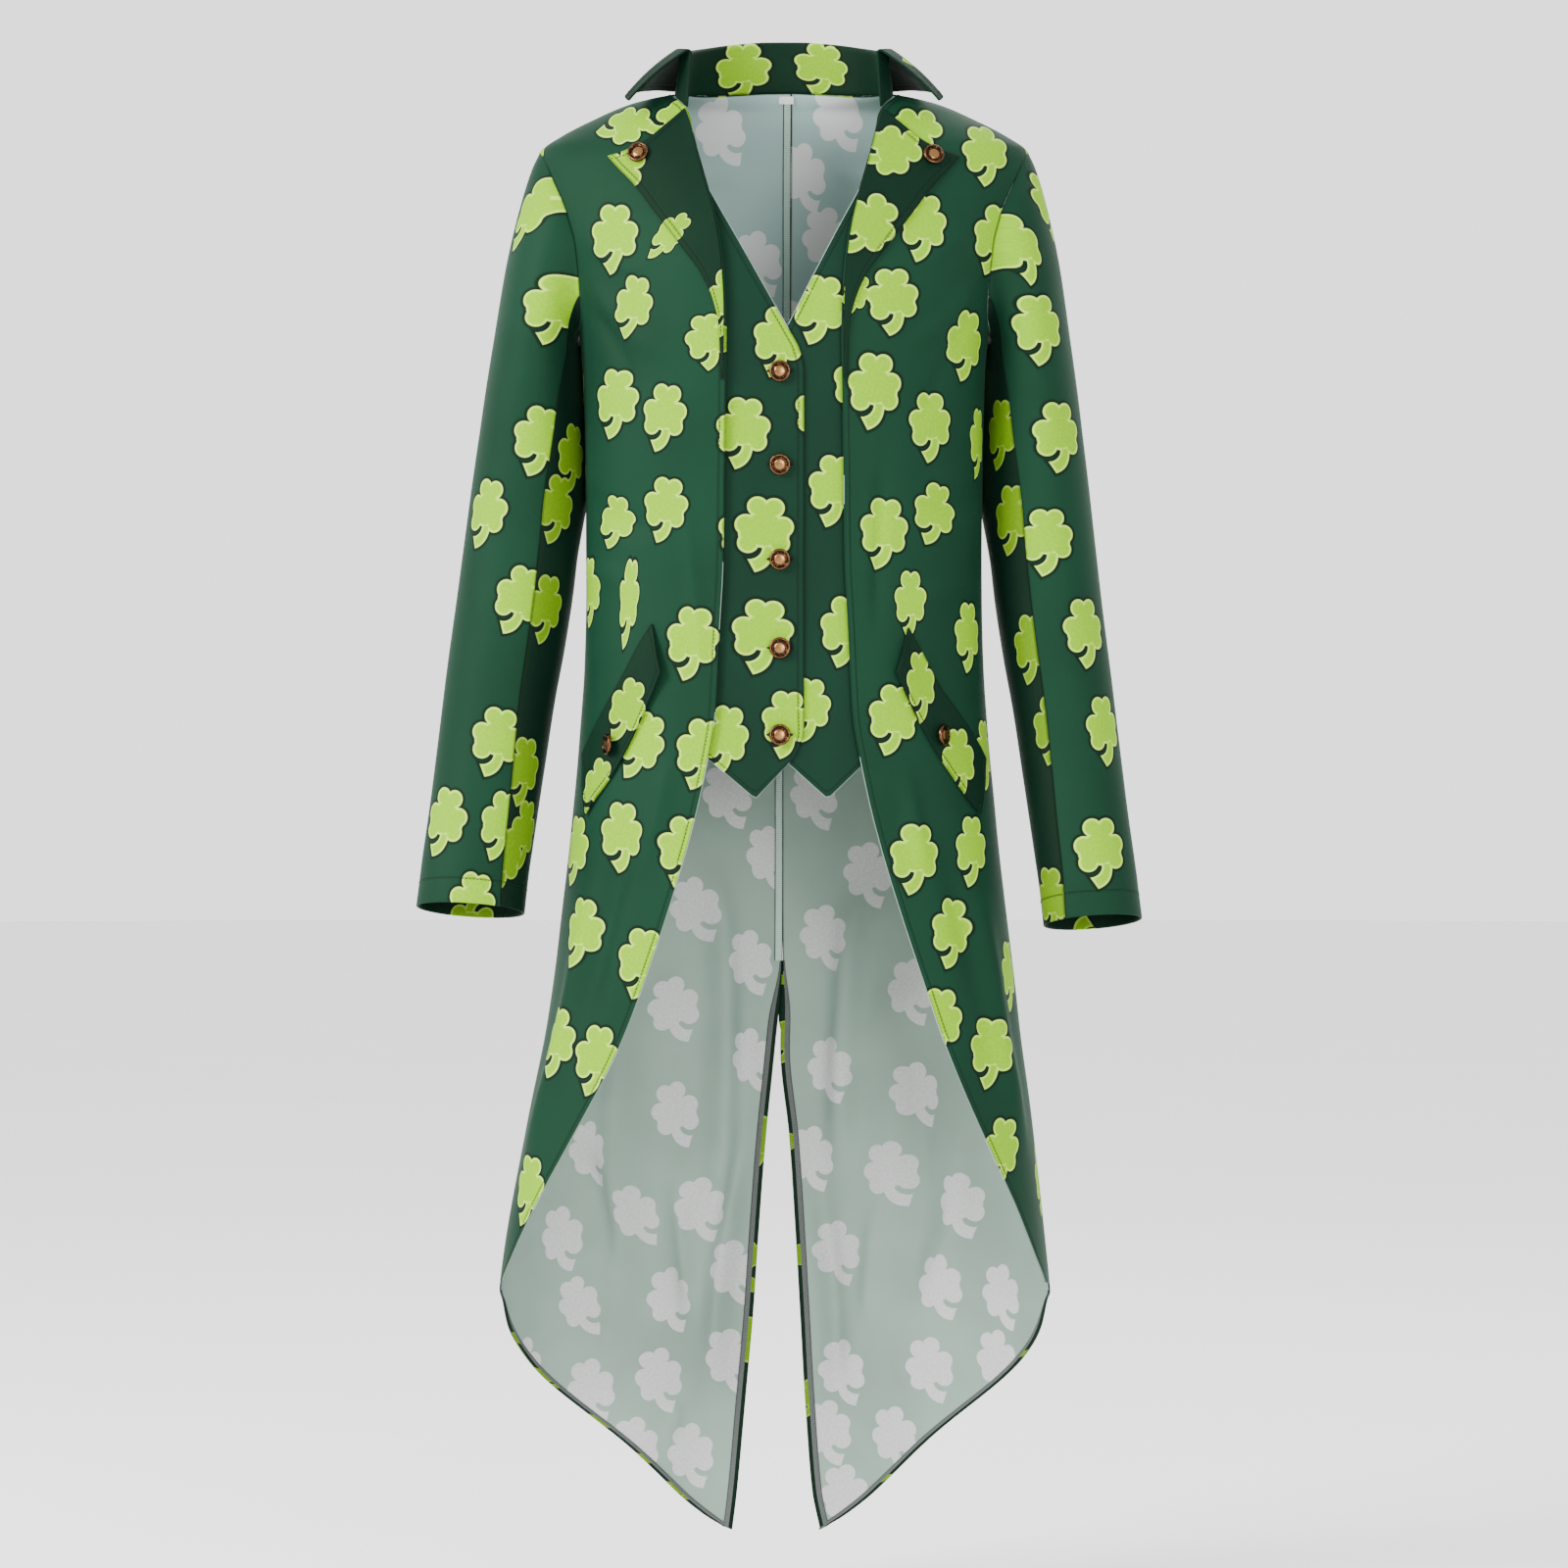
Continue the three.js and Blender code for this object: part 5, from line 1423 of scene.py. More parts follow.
def material_named(name):
    """Materials of the costume, made when first asked for."""
    found = bpy.data.materials.get(name)
    if found:
        return found
    s = settings()
    if "shamrock print" not in bpy.data.node_groups:
        print_group(leaf_distance_group())
        weave_group()
        sewn_edge_group()
    leaf, rim, ring = (np.array(tint[:]) for tint in (s.print.leaf, s.print.rim, s.print.ring))
    # dark is the nearly black ground painted as shade
    wrong, dark = np.array(s.cloth.wrong_ground[:]), np.array(s.cloth.painted_shade_ground[:])
    finish = (s.sewing.inset / MM, s.cloth.roughness, s.cloth.sheen)
    # The lapel, vest and under sleeve cloths are the front print with ground and leaves darkened as painted
    # shade; the share darkens their leaves
    grounds = {
        "front cloth": (s.cloth.front_ground, 1.0),
        "painted shade lapel cloth": (s.cloth.painted_shade_lapel_ground, 0.86),
        "painted shade vest cloth": (s.cloth.painted_shade_vest_ground, 0.95),
        "painted shade dark cloth": (s.cloth.painted_shade_ground, 0.5),
    }
    if name in grounds:
        ground, share = grounds[name]
        return cloth_material(name, np.array(ground[:]), leaf * share, rim * share, ring, *finish)
    # Painted shade: the collar's fall is the print on the nearly black ground, its leaves barely showing
    if name == "painted shade collar fall":
        return cloth_material(name, dark, dark * 1.1, dark, dark, *finish, leaf_bump=0.0)
    if name == "wrong side":
        # The wrong side takes painted light near the neck
        through, high = np.array(s.print.wrong_leaf[:]), wrong * np.array(WRONG_SIDE_PAINTED_LIGHT)
        return cloth_material(name, wrong, through, through, wrong, -9.0, 0.55, 0.02, 0.02, 0.3, high)
    if name == "green thread":
        return thread_material(name, np.array(s.sewing.green[:]))
    if name == "grey overlock":
        return overlock_material(name, np.array(s.sewing.grey[:]))
    if name == "pale seam tape":
        return overlock_material(name, wrong * 1.7, 0.1)
    if name == "aged brass":
        return brass_material(name, *np.array(BRASS_TONES))
    if name == "label cloth":
        return thread_material(name, np.array(LABEL_WHITE), 0.85)
    raise KeyError(name)


def edge_line(sheet, edge, inset, outside=True):
    """Line at a set distance inside an edge, with its ways out."""
    points = sheet.points if outside else sheet.points - sheet.normals * sheet.wall
    normals = sheet.normals if outside else -sheet.normals
    if edge in ("top", "bottom"):
        points, normals = points.swapaxes(0, 1), normals.swapaxes(0, 1)
    if edge in ("right", "bottom"):
        points, normals = points[:, ::-1], normals[:, ::-1]
    reach = np.hstack([np.zeros((len(points), 1)), step_lengths(points, 1).cumsum(1)])
    reach += sheet.wall / 2
    inset = np.broadcast_to(inset, len(points))
    i = np.clip((reach < inset[:, None]).sum(1) - 1, 0, points.shape[1] - 2)
    row = np.arange(len(points))
    t = ((inset - reach[row, i]) / (reach[row, i + 1] - reach[row, i]))[:, None]
    return mix(points[row, i], points[row, i + 1], t), unit(mix(normals[row, i], normals[row, i + 1], t))


def stepped(points, normals, pitch):
    """Places at even steps along a line, with the way along and the way out."""
    reach = np.concatenate([[0], step_lengths(points).cumsum()])
    count = max(int(reach[-1] / pitch), 1)
    at = (np.arange(count) + 0.5) * reach[-1] / count
    place = np.stack([np.interp(at, reach, points[:, k]) for k in range(3)], -1)
    out = unit(np.stack([np.interp(at, reach, normals[:, k]) for k in range(3)], -1))
    ahead = np.stack([np.interp(at + 0.5, reach, points[:, k]) for k in range(3)], -1)
    back = np.stack([np.interp(at - 0.5, reach, points[:, k]) for k in range(3)], -1)
    return place, unit(ahead - back), out


def stitches(name, lines, pitch, thick, length_share=0.74):
    """Joined stitches: each is a spindle of six sides whose radius falls as a half circle to its two ends."""
    parts = [stepped(points, normals, pitch) for points, normals in lines]
    place = np.concatenate([p[0] for p in parts])
    along = np.concatenate([p[1] for p in parts])
    out = np.concatenate([p[2] for p in parts])
    across = unit(np.cross(along, out))
    stops = np.array([-0.5, -0.44, -0.25, 0.0, 0.25, 0.44, 0.5])
    girth = np.array([0.05, 0.62, 0.95, 1.0, 0.95, 0.62, 0.05]) * thick / 2
    round_ = np.arange(6) * np.pi / 3
    half = pitch * length_share
    arch = thick * 0.28 - (stops * 2) ** 2 * thick * 0.35
    centre = place[:, None, :] + along[:, None, :] * (stops * half)[None, :, None]
    centre = centre + out[:, None, :] * arch[None, :, None]
    ring = across[:, None, None, :] * np.cos(round_)[None, None, :, None]
    ring = ring + out[:, None, None, :] * np.sin(round_)[None, None, :, None]
    verts = centre[:, :, None, :] + ring * girth[None, :, None, None]
    count, rings, sides = verts.shape[:3]
    number = np.arange(rings * sides).reshape(rings, sides)
    first, last = number[0], number[-1]
    caps = [first[[0, 5, 4, 3]], first[[0, 3, 2, 1]], last[[0, 1, 2, 3]], last[[0, 3, 4, 5]]]
    quads = np.concatenate([tube_faces(number), np.array(caps)])
    corners = verts[0].reshape(-1, 3)[quads]
    middle = verts[0].reshape(-1, 3).mean(0)
    facing = np.cross(corners[:, 1] - corners[:, 0], corners[:, 2] - corners[:, 0])
    if ((corners.mean(1) - middle) * facing).sum() < 0:
        quads = quads[:, ::-1]
    faces = (quads[None] + (np.arange(count) * rings * sides)[:, None, None]).reshape(-1, 4)
    obj = mesh_object(name, verts.reshape(-1, 3), faces, [material_named("green thread")])
    return settle(obj)


SHEETS = {}


def sheet_of(key, make, *args):
    """Sheets are worked out once and shared by the pieces that lie on them."""
    if key not in SHEETS:
        SHEETS[key] = make(*args)
    return SHEETS[key]


def add_cloth(
    node, sheet, placed, materials, held, rests_on, slot="cloth", rim_slots=(0, 0, 0, 0), pale_left=()
):
    """Makes a cloth piece in place of its CAD node, and works out the length of its cut."""
    made = [material_named(material) for material in materials]
    obj = cloth_object(node + "_cloth", sheet, placed, made, rim_slots, pale_left)
    settle(obj, [node])
    declare_sheet(sheet)


class COAT_OT_fronts(Operator):
    """Two fronts, from the shoulders down to the cutaway"""

    bl_idname = "coat.fronts"
    bl_label = "Fronts"

    def execute(self, context):
        for name, side, seen in (("right", -1, SEEN_FRONT_RIGHT), ("left", 1, SEEN_FRONT_LEFT)):
            sheet = sheet_of("front_" + name, front_sheet, side)
            sheet.near = edge_gap(sheet, ["left"])
            placed = fill_places(sheet, places_on(sheet, seen), settings().print, 11 + side)
            materials, beside = ("front cloth", "wrong side"), ["back_" + name, "lapel_" + name]
            pale = PALE_FRONT_EDGE[name]
            add_cloth("front_" + name, sheet, placed, materials, "hung", beside, pale_left=pale)
        return {"FINISHED"}


class COAT_OT_backs(Operator):
    """Two backs with their tails, whose pale wrong side shows from the front"""

    bl_idname = "coat.backs"
    bl_label = "Backs"

    def execute(self, context):
        for name, side, seen in (("right", -1, SEEN_BACK_RIGHT), ("left", 1, SEEN_BACK_LEFT)):
            sheet = sheet_of("back_" + name, back_sheet, side)
            placed = places_on(sheet, seen, away=True)
            placed = fill_places(sheet, placed, settings().print, 31 + side, away=True)
            hem = (sheet.points[:, -1:, 2] < SIDE_SEAM_Z[-1] - 8) * np.ones(sheet.across.shape)
            sheet.near = np.where(hem > 0, edge_gap(sheet, ["right"]) - 3.4, FAR)
            materials, beside = ("front cloth", "wrong side"), ["front_" + name, "collar"]
            add_cloth("back_" + name, sheet, placed, materials, "hung", beside)
        return {"FINISHED"}


class COAT_OT_sleeves(Operator):
    """Two-piece sleeves, the upper piece lit and the under piece in painted shade"""

    bl_idname = "coat.sleeves"
    bl_label = "Sleeves"

    def execute(self, context):
        s = settings()
        pieces = (
            ("upper", "right", SEEN_SLEEVE_RIGHT, "front cloth"),
            ("upper", "left", SEEN_SLEEVE_LEFT, "front cloth"),
            ("under", "right", SEEN_UNDER_RIGHT, "painted shade dark cloth"),
            ("under", "left", SEEN_UNDER_LEFT, "painted shade dark cloth"),
        )
        for seed, (piece, name, seen, cloth) in enumerate(pieces):
            node = f"sleeve_{piece}_{name}"
            sheet = sheet_of(node, sleeve_sheet, -1 if name == "right" else 1, piece == "upper")
            placed = fill_places(sheet, places_on(sheet, seen), s.print, 51 + seed)
            sheet.near = edge_gap(sheet, ["bottom"]) - s.sewing.cuff_hem / MM + s.sewing.inset / MM
            add_cloth(node, sheet, placed, (cloth, "wrong side"), "hung", ["front_" + name, "back_" + name])
        return {"FINISHED"}


class COAT_OT_vest(Operator):
    """Waistcoat front in two halves, sewn in behind the fronts"""

    bl_idname = "coat.vest"
    bl_label = "Waistcoat front"

    def execute(self, context):
        pieces = (("right", VEST_RIGHT, SEEN_VEST_RIGHT), ("left", VEST_LEFT, SEEN_VEST_LEFT))
        for name, table, seen in pieces:
            sheet = sheet_of("vest_" + name, vest_sheet, table, name == "left")
            sheet.near = edge_gap(sheet, ["left", "bottom"])
            materials, placed = ("painted shade vest cloth", "wrong side"), places_on(sheet, seen)
            held = ("hung", ["front_" + name], "vest", (0, 0, 1, 0), PALE_VEST_EDGE)
            add_cloth("vest_" + name, sheet, placed, materials, *held)
        return {"FINISHED"}


class COAT_OT_lapels(Operator):
    """Lapels turned back on the fronts"""

    bl_idname = "coat.lapels"
    bl_label = "Lapels"

    def execute(self, context):
        for name, side, seen in (("right", -1, SEEN_LAPEL_RIGHT), ("left", 1, SEEN_LAPEL_LEFT)):
            sheet = sheet_of("lapel_" + name, lapel_sheet, side)
            sheet.near = edge_gap(sheet, ["top", "right"])
            materials, placed = ["painted shade lapel cloth"] * 2, places_on(sheet, seen)
            add_cloth("lapel_" + name, sheet, placed, materials, "folded", ["front_" + name])
        return {"FINISHED"}


COLLAR_STAND_COLUMNS = (0, 20)
COLLAR_WING_COLUMNS = (24, 47)


class COAT_OT_collar(Operator):
    """Turned-down collar whose inner stand shows across the neck"""

    bl_idname = "coat.collar"
    bl_label = "Collar"

    def execute(self, context):
        sheet = sheet_of("collar", collar_sheet)
        placed = places_on(sheet, SEEN_COLLAR, away=True, columns=COLLAR_STAND_COLUMNS)
        placed += places_on(sheet, SEEN_WINGS, away=True, columns=COLLAR_WING_COLUMNS)
        top = sheet.height.max()
        placed += [[across, top - up, 180 + tilt, 1.0, 1.0] for across, up, tilt in COLLAR_FALL]
        sheet.near = edge_gap(sheet, ["right", "top", "bottom"])
        cloth, under = material_named("painted shade lapel cloth"), material_named("painted shade collar fall")
        obj = cloth_object("collar_cloth", sheet, placed, [cloth, cloth, under])
        rows, columns = sheet.across.shape
        slots = np.zeros(len(obj.data.polygons), np.int32)
        face = np.arange((rows - 1) * (columns - 1))
        # The fall's faces take the painted shade of the collar fall
        slots[: len(face)] = np.where(face % (columns - 1) >= COLLAR_WING_COLUMNS[0], 2, 0)
        obj.data.polygons.foreach_set("material_index", slots)
        settle(obj, ["collar"])
        declare_sheet(sheet)
        return {"FINISHED"}


class COAT_OT_flaps(Operator):
    """Slanting pocket flaps with a lifted front end"""

    bl_idname = "coat.flaps"
    bl_label = "Pocket flaps"

    def execute(self, context):
        pieces = (("right", -1, FLAP_RIGHT, SEEN_FLAP_RIGHT), ("left", 1, FLAP_LEFT, SEEN_FLAP_LEFT))
        for name, side, table, seen in pieces:
            sheet = sheet_of("flap_" + name, flap_sheet, side, table)
            sheet.near = edge_gap(sheet, ["top", "right", "bottom"])
            materials, placed = ["painted shade lapel cloth"] * 2, places_on(sheet, seen)
            add_cloth("pocket_flap_" + name, sheet, placed, materials, "laid", ["front_" + name])
        return {"FINISHED"}


# Button: radius, how far a flap's button is turned outwards, its lift, and its profile as radius and height
BUTTON_RADIUS = 8.75
FLAP_BUTTON_TURN = 31.0
FLAP_BUTTON_LIFT = 2.6
FLAP_BUTTON_SINK = 1.6
BUTTON_PROFILE = [
    [0.0, 0.0], [2.0, 0.0], [2.3, 0.3], [2.5, 1.0], [7.4, 1.05], [8.3, 1.35], [8.75, 2.0], [8.75, 3.2],
    [8.55, 3.85], [8.1, 4.3], [7.5, 4.45], [6.95, 4.2], [6.7, 3.7], [6.4, 3.4], [5.6, 3.3], [4.7, 3.45],
    [4.2, 3.8], [3.6, 4.05], [2.4, 4.2], [1.2, 4.28], [0.0, 4.3],
]

# Buttons beside the waistcoat: node, angle, height, way out from the body form
SIDE_BUTTONS = [
    ["lapel_button_right", -59.6, -60.0, LAPEL_LIFT + LAPEL_WALL + 0.5],
    ["lapel_button_left", 60.3, -61.6, LAPEL_LIFT + LAPEL_WALL + 0.5],
    ["flap_button_right", -66.5, -545.0, FLAP_LIFT + FLAP_WALL + 0.95],
    ["flap_button_left", 61.1, -537.0, FLAP_LIFT + FLAP_WALL + 0.95],
]


def turned_button(name, node, point, normal):
    """A shank button: its profile turned round its axis, with a corded rim of shallow ribs."""
    profile = np.array(BUTTON_PROFILE)
    sides = 48
    turn = np.arange(sides) * 2 * np.pi / sides
    cord = 1 + 0.012 * np.cos(turn * 24)[None, :] * ((profile[:, 0] > 7.3) & (profile[:, 1] > 1.8))[:, None]
    radius = profile[:, :1] * cord
    side_way = unit(np.cross(normal, [0.0, 0.0, 1.0]))
    up_way = np.cross(side_way, normal)
    verts = point + radius[..., None] * (np.cos(turn)[:, None] * side_way + np.sin(turn)[:, None] * up_way)
    verts = verts + profile[:, None, 1:2] * normal
    number = np.arange(len(profile) * sides).reshape(len(profile), sides)
    quads = tube_faces(number)
    flat = verts.reshape(-1, 3)
    facing = np.cross(flat[quads[:, 1]] - flat[quads[:, 0]], flat[quads[:, 2]] - flat[quads[:, 1]])
    centre = point + normal * 2.2
    if ((flat[quads].mean(1) - centre) * facing).sum() < 0:
        quads = quads[:, ::-1]
    mapped = np.broadcast_to(profile[:, None, 0] / BUTTON_RADIUS, (len(profile), sides)).ravel()
    maps = {"turned": np.stack([mapped, mapped * 0], -1)[quads]}
    obj = mesh_object(name, flat, quads, [material_named("aged brass")], maps=maps)
    weld(obj)
    return settle(obj, [node])


def weld(obj):
    """Joins points that share a place, so that poles are closed."""
    work = bmesh.new()
    work.from_mesh(obj.data)
    bmesh.ops.remove_doubles(work, verts=work.verts, dist=1e-6)
    work.to_mesh(obj.data)
    work.free()


class COAT_OT_buttons(Operator):
    """Nine turned buttons, each on the cloth under it"""

    bl_idname = "coat.buttons"
    bl_label = "Buttons"

    def execute(self, context):
        spots = []
        for i, z in enumerate(VEST_BUTTON_Z):
            angle = angle_at_x(np.array([VEST_BUTTON_X]), np.array([float(z)]))
            spots.append((f"vest_button_{i + 1}", angle, float(z), 0.35 - vest_depth(VEST_BUTTON_X)))
        spots += [(node, np.array([angle]), z, out) for node, angle, z, out in SIDE_BUTTONS]
        for node, angle, z, out in spots:
            normal = form_normal(angle, z)[0]
            place = form_point(angle, z)[0] + normal * out
            if node.startswith("flap"):
                turn = math.radians(FLAP_BUTTON_TURN) * (1 if place[0] > 0 else -1)
                cos, sin = math.cos(turn), math.sin(turn)
                place = place + normal * FLAP_BUTTON_LIFT
                x, y, up = normal
                normal = np.array([x * cos - y * sin, x * sin + y * cos, up])
                place = place - normal * FLAP_BUTTON_SINK
            turned_button(node + "_turned", node, place, normal)
        return {"FINISHED"}


class COAT_OT_label(Operator):
    """Blank label at the back of the neck: the solid itself, woven white"""

    bl_idname = "coat.label"
    bl_label = "Neck label"

    def execute(self, context):
        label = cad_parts["neck_label"]
        label.data.materials.clear()
        label.data.materials.append(material_named("label cloth"))
        return {"FINISHED"}


def strip_object(name, sheet, edge, rows, insets, lift, materials, slots, placed, past=0.0):
    """A turned strip on the wrong side along an edge: a low arch over its insets, closed underneath.
    insets has one measure, or one for each point of the edge, for every line of the strip.
    past is how far it reaches over the edge at each point of it."""
    length = sheet.points.shape[1 if edge in ("top", "bottom") else 0]
    insets = [np.broadcast_to(inset, length) for inset in insets]
    lines = [edge_line(sheet, edge, inset - past * (i == 0), outside=False) for i, inset in enumerate(insets)]
    points = np.stack([line[0] for line in lines], 1)[rows]
    normals = np.stack([line[1] for line in lines], 1)[rows]
    share = np.linspace(0.0, 1.0, len(insets))
    rise = lift * np.sin(np.pi * np.clip(share, 0.06, 0.94)) ** 0.4
    top = points + normals * (rise[None, :, None] + 0.12)
    low = points + normals * 0.02
    count, wide = top.shape[:2]
    number = np.arange(count * wide).reshape(count, wide)
    a = number[:-1, :-1].ravel()
    upper = np.stack([a, a + 1, a + wide + 1, a + wide], 1)
    lower = upper[:, ::-1] + count * wide
    loop = round_edge(number)
    after = np.roll(loop, -1)
    rim = np.stack([after, loop, loop + count * wide, after + count * wide], 1)
    quads = np.concatenate([upper, lower, rim])
    verts = np.concatenate([top.reshape(-1, 3), low.reshape(-1, 3)])
    facing = np.cross(verts[quads[0, 1]] - verts[quads[0, 0]], verts[quads[0, 3]] - verts[quads[0, 0]])
    if facing @ normals[0, 0] < 0:
        quads = quads[:, ::-1]
    reach = np.concatenate([[0], step_lengths(points[:, 0]).cumsum()])
    along = np.tile(np.broadcast_to(reach[:, None], (count, wide)).ravel(), 2) * MM
    side = np.tile(np.broadcast_to(share[None, :], (count, wide)).ravel(), 2)
    across_map, height_map = strip_measures(sheet, edge, rows, insets)
    maps = print_maps(across_map, height_map, quads, placed)
    maps["cloth"] = np.stack([across_map, height_map], -1)[quads] * MM
    maps["edge"] = np.full((len(quads), 4, 2), FAR * 0.01)
    maps["strip"] = np.stack([side, along], -1)[quads]
    column = np.tile(np.arange(wide - 1), count - 1)
    upper_slots = np.array(slots)[column]
    all_slots = np.concatenate([upper_slots, upper_slots, np.full(len(rim), slots[0])])
    obj = mesh_object(name, verts, quads, materials, all_slots, maps)
    return settle(obj)


def strip_measures(sheet, edge, rows, insets):
    """Cloth measures of a strip: the print runs on past the edge, as it does where cloth is turned in."""
    source_a, source_h = sheet.across, sheet.height
    if edge in ("top", "bottom"):
        source_a, source_h = source_a.T, source_h.T
    column, inner = (-1, -2) if edge in ("right", "bottom") else (0, 1)
    step_a = source_a[rows, column] - source_a[rows, inner]
    step_h = source_h[rows, column] - source_h[rows, inner]
    step = np.hypot(step_a, step_h)[:, None]
    insets = np.stack(insets, 1)[rows]
    a = source_a[rows, column][:, None] + step_a[:, None] / step * insets
    h = source_h[rows, column][:, None] + step_h[:, None] / step * insets
    return np.tile(a.ravel(), 2), np.tile(h.ravel(), 2)


# Lines of the turned edges, of the centre seam's allowance and of a cuff's hem, as ways in from the edge, and
# the material slot of the cloth between each two of them
TURNED_LINES = np.array([0.2, 1.0, 2.2, 3.5, 3.9, 5.4, 7.2, 8.2])
TURNED_SLOTS = [0, 0, 0, 1, 1, 1, 1]
SEAM_LINES = [-0.2, 0.5, 1.1, 3.2, 5.2, 5.9, 6.7]
SEAM_SLOTS = [1, 0, 0, 0, 0, 1]
CUFF_LINES = [0.4, 1.2, 3.0, 7.0, 12.0]


class COAT_OT_edges(Operator):
    """Turned and overlocked edges on the wrong side: centre back seam, slit, hems of the tails, cuffs"""

    bl_idname = "coat.edges"
    bl_label = "Seam and hem edges"

    def execute(self, context):
        s = settings()
        # The turned strips and cuff hems are painted in shade: the print on the nearly black ground of the
        # under sleeves
        cloth, grey = material_named("painted shade dark cloth"), material_named("grey overlock")
        hem_start = SIDE_SEAM_Z[-1]
        for name, side in (("right", -1), ("left", 1)):
            sheet = SHEETS["back_" + name]
            centre_z = sheet.points[:, 0, 2]
            slit = np.where(centre_z < SLIT_TOP_Z + 6)[0]
            gap = run_through(CENTRE_BACK, 2, centre_z) - run_through(CENTRE_BACK, 1, centre_z)
            past = gap * (0.97 if side > 0 else 0.0) * eased((centre_z - SLIT_OPENS_Z) / 8)
            narrow = 0.2 + 0.8 * eased((SLIT_TOP_Z + 10 - centre_z) / 60)
            lines = [line * narrow for line in TURNED_LINES]
            shown = edge_places(sheet, 0, SLIT_LEAVES[name], side)
            finish = ([cloth, grey], TURNED_SLOTS, shown)
            strip_object("slit_turning_" + name, sheet, "left", slit, lines, 0.7, *finish, past)
            hem_z = sheet.points[:, -1, 2]
            hem = np.where(hem_z < hem_start - 6)[0]
            narrow = 0.15 + 0.85 * eased((hem_start - 2 - hem_z) / 45)
            lines = [line * narrow for line in TURNED_LINES]
            shown = edge_places(sheet, -1, HEM_LEAVES[name], -side)
            finish = ([cloth, grey], TURNED_SLOTS, shown)
            strip_object("hem_turning_" + name, sheet, "right", hem, lines, 0.9, *finish)
        sheet = SHEETS["back_right"]
        centre_z = sheet.points[:, 0, 2]
        seam = np.where((centre_z > SLIT_TOP_Z) & (centre_z < 4))[0]
        tape = [material_named("pale seam tape"), grey]
        strip_object("centre_seam_allowance", sheet, "left", seam, SEAM_LINES, 1.2, tape, SEAM_SLOTS, [])
        depth = s.sewing.cuff_hem / MM
        lines = [*CUFF_LINES, depth - 1.0, depth]
        for side in ("right", "left"):
            for piece in ("upper", "under"):
                sheet = SHEETS[f"sleeve_{piece}_{side}"]
                placed = fill_places(sheet, [], s.print, 91, away=True)
                every = np.arange(sheet.points.shape[1])
                name = f"cuff_hem_{piece}_{side}"
                strip_object(name, sheet, "bottom", every, lines, 0.5, [cloth], [0] * 6, placed)
        return {"FINISHED"}


def edge_places(sheet, column, leaves, out):
    """Places of shamrocks on a turned strip, from their heights along the edge."""
    z = sheet.points[:, column, 2]
    found = []
    for height, length, tilt in leaves:
        row = np.abs(z - height).argmin()
        across = sheet.across[row, column] + out * 4.0
        found.append([across, sheet.height[row, column], tilt, length / 50, 1.0])
    return found


# Topstitched edges of the right and left piece of each kind
STITCHED_EDGES = {
    "fronts": ("front_", ["left"]),
    "vest": ("vest_", ["left", "bottom"]),
    "lapels": ("lapel_", ["top", "right"]),
    "flaps": ("flap_", ["top", "right", "bottom"]),
}


class COAT_OT_topstitching(Operator):
    """Topstitching along the sewn edges, as separate stitches of real thread"""

    bl_idname = "coat.topstitching"
    bl_label = "Topstitching"

    def execute(self, context):
        s = settings()
        pitch, thick, inset = s.sewing.pitch / MM, s.sewing.thread / MM, s.sewing.inset / MM
        sides = ("right", "left")
        for name, (key, edges) in STITCHED_EDGES.items():
            sheets = [SHEETS[key + side] for side in sides]
            lines = [edge_line(sheet, edge, inset) for sheet in sheets for edge in edges]
            stitches("topstitch_" + name, lines, pitch, thick)
        cuffs = [SHEETS[f"sleeve_{piece}_{side}"] for piece in ("upper", "under") for side in sides]
        lines = [edge_line(sheet, "bottom", s.sewing.cuff_hem / MM) for sheet in cuffs]
        stitches("topstitch_cuffs", lines, pitch, thick)
        lines = []
        for name in ("right", "left"):
            points, normals = edge_line(SHEETS["back_" + name], "right", 8.0)
            hem = points[:, 2] < SIDE_SEAM_Z[-1] - 8
            lines.append((points[hem], normals[hem]))
        stitches("topstitch_tail_hems", lines, pitch, thick)
        collar = SHEETS["collar"]
        stand = np.where(collar.height[0] < collar.height[0, 11] - COLLAR_STITCH_DROP)[0][-1]
        lines = [
            edge_line(collar, "right", inset, outside=False),
            (collar.points[:, stand], collar.normals[:, stand]),
        ]
        stitches("topstitch_collar", lines, pitch, thick)
        return {"FINISHED"}


class COAT_OT_buttonholes(Operator):
    """Worked buttonholes under the waistcoat's buttons"""

    bl_idname = "coat.buttonholes"
    bl_label = "Buttonholes"

    def execute(self, context):
        lines = []
        turn = np.linspace(0, 2 * np.pi, 41)
        for z in VEST_BUTTON_Z:
            x = VEST_BUTTON_X + 10.8 * np.cos(turn)
            height = z + 1.5 * np.sin(turn) * (1 - 0.3 * np.cos(turn) ** 2)
            angle = angle_at_x(x, height)
            normal = form_normal(angle, height)
            lines.append((form_point(angle, height) - normal * (vest_depth(VEST_BUTTON_X) - 0.15), normal))
        stitches("vest_buttonholes", lines, 1.0, 1.3, 1.0)
        return {"FINISHED"}


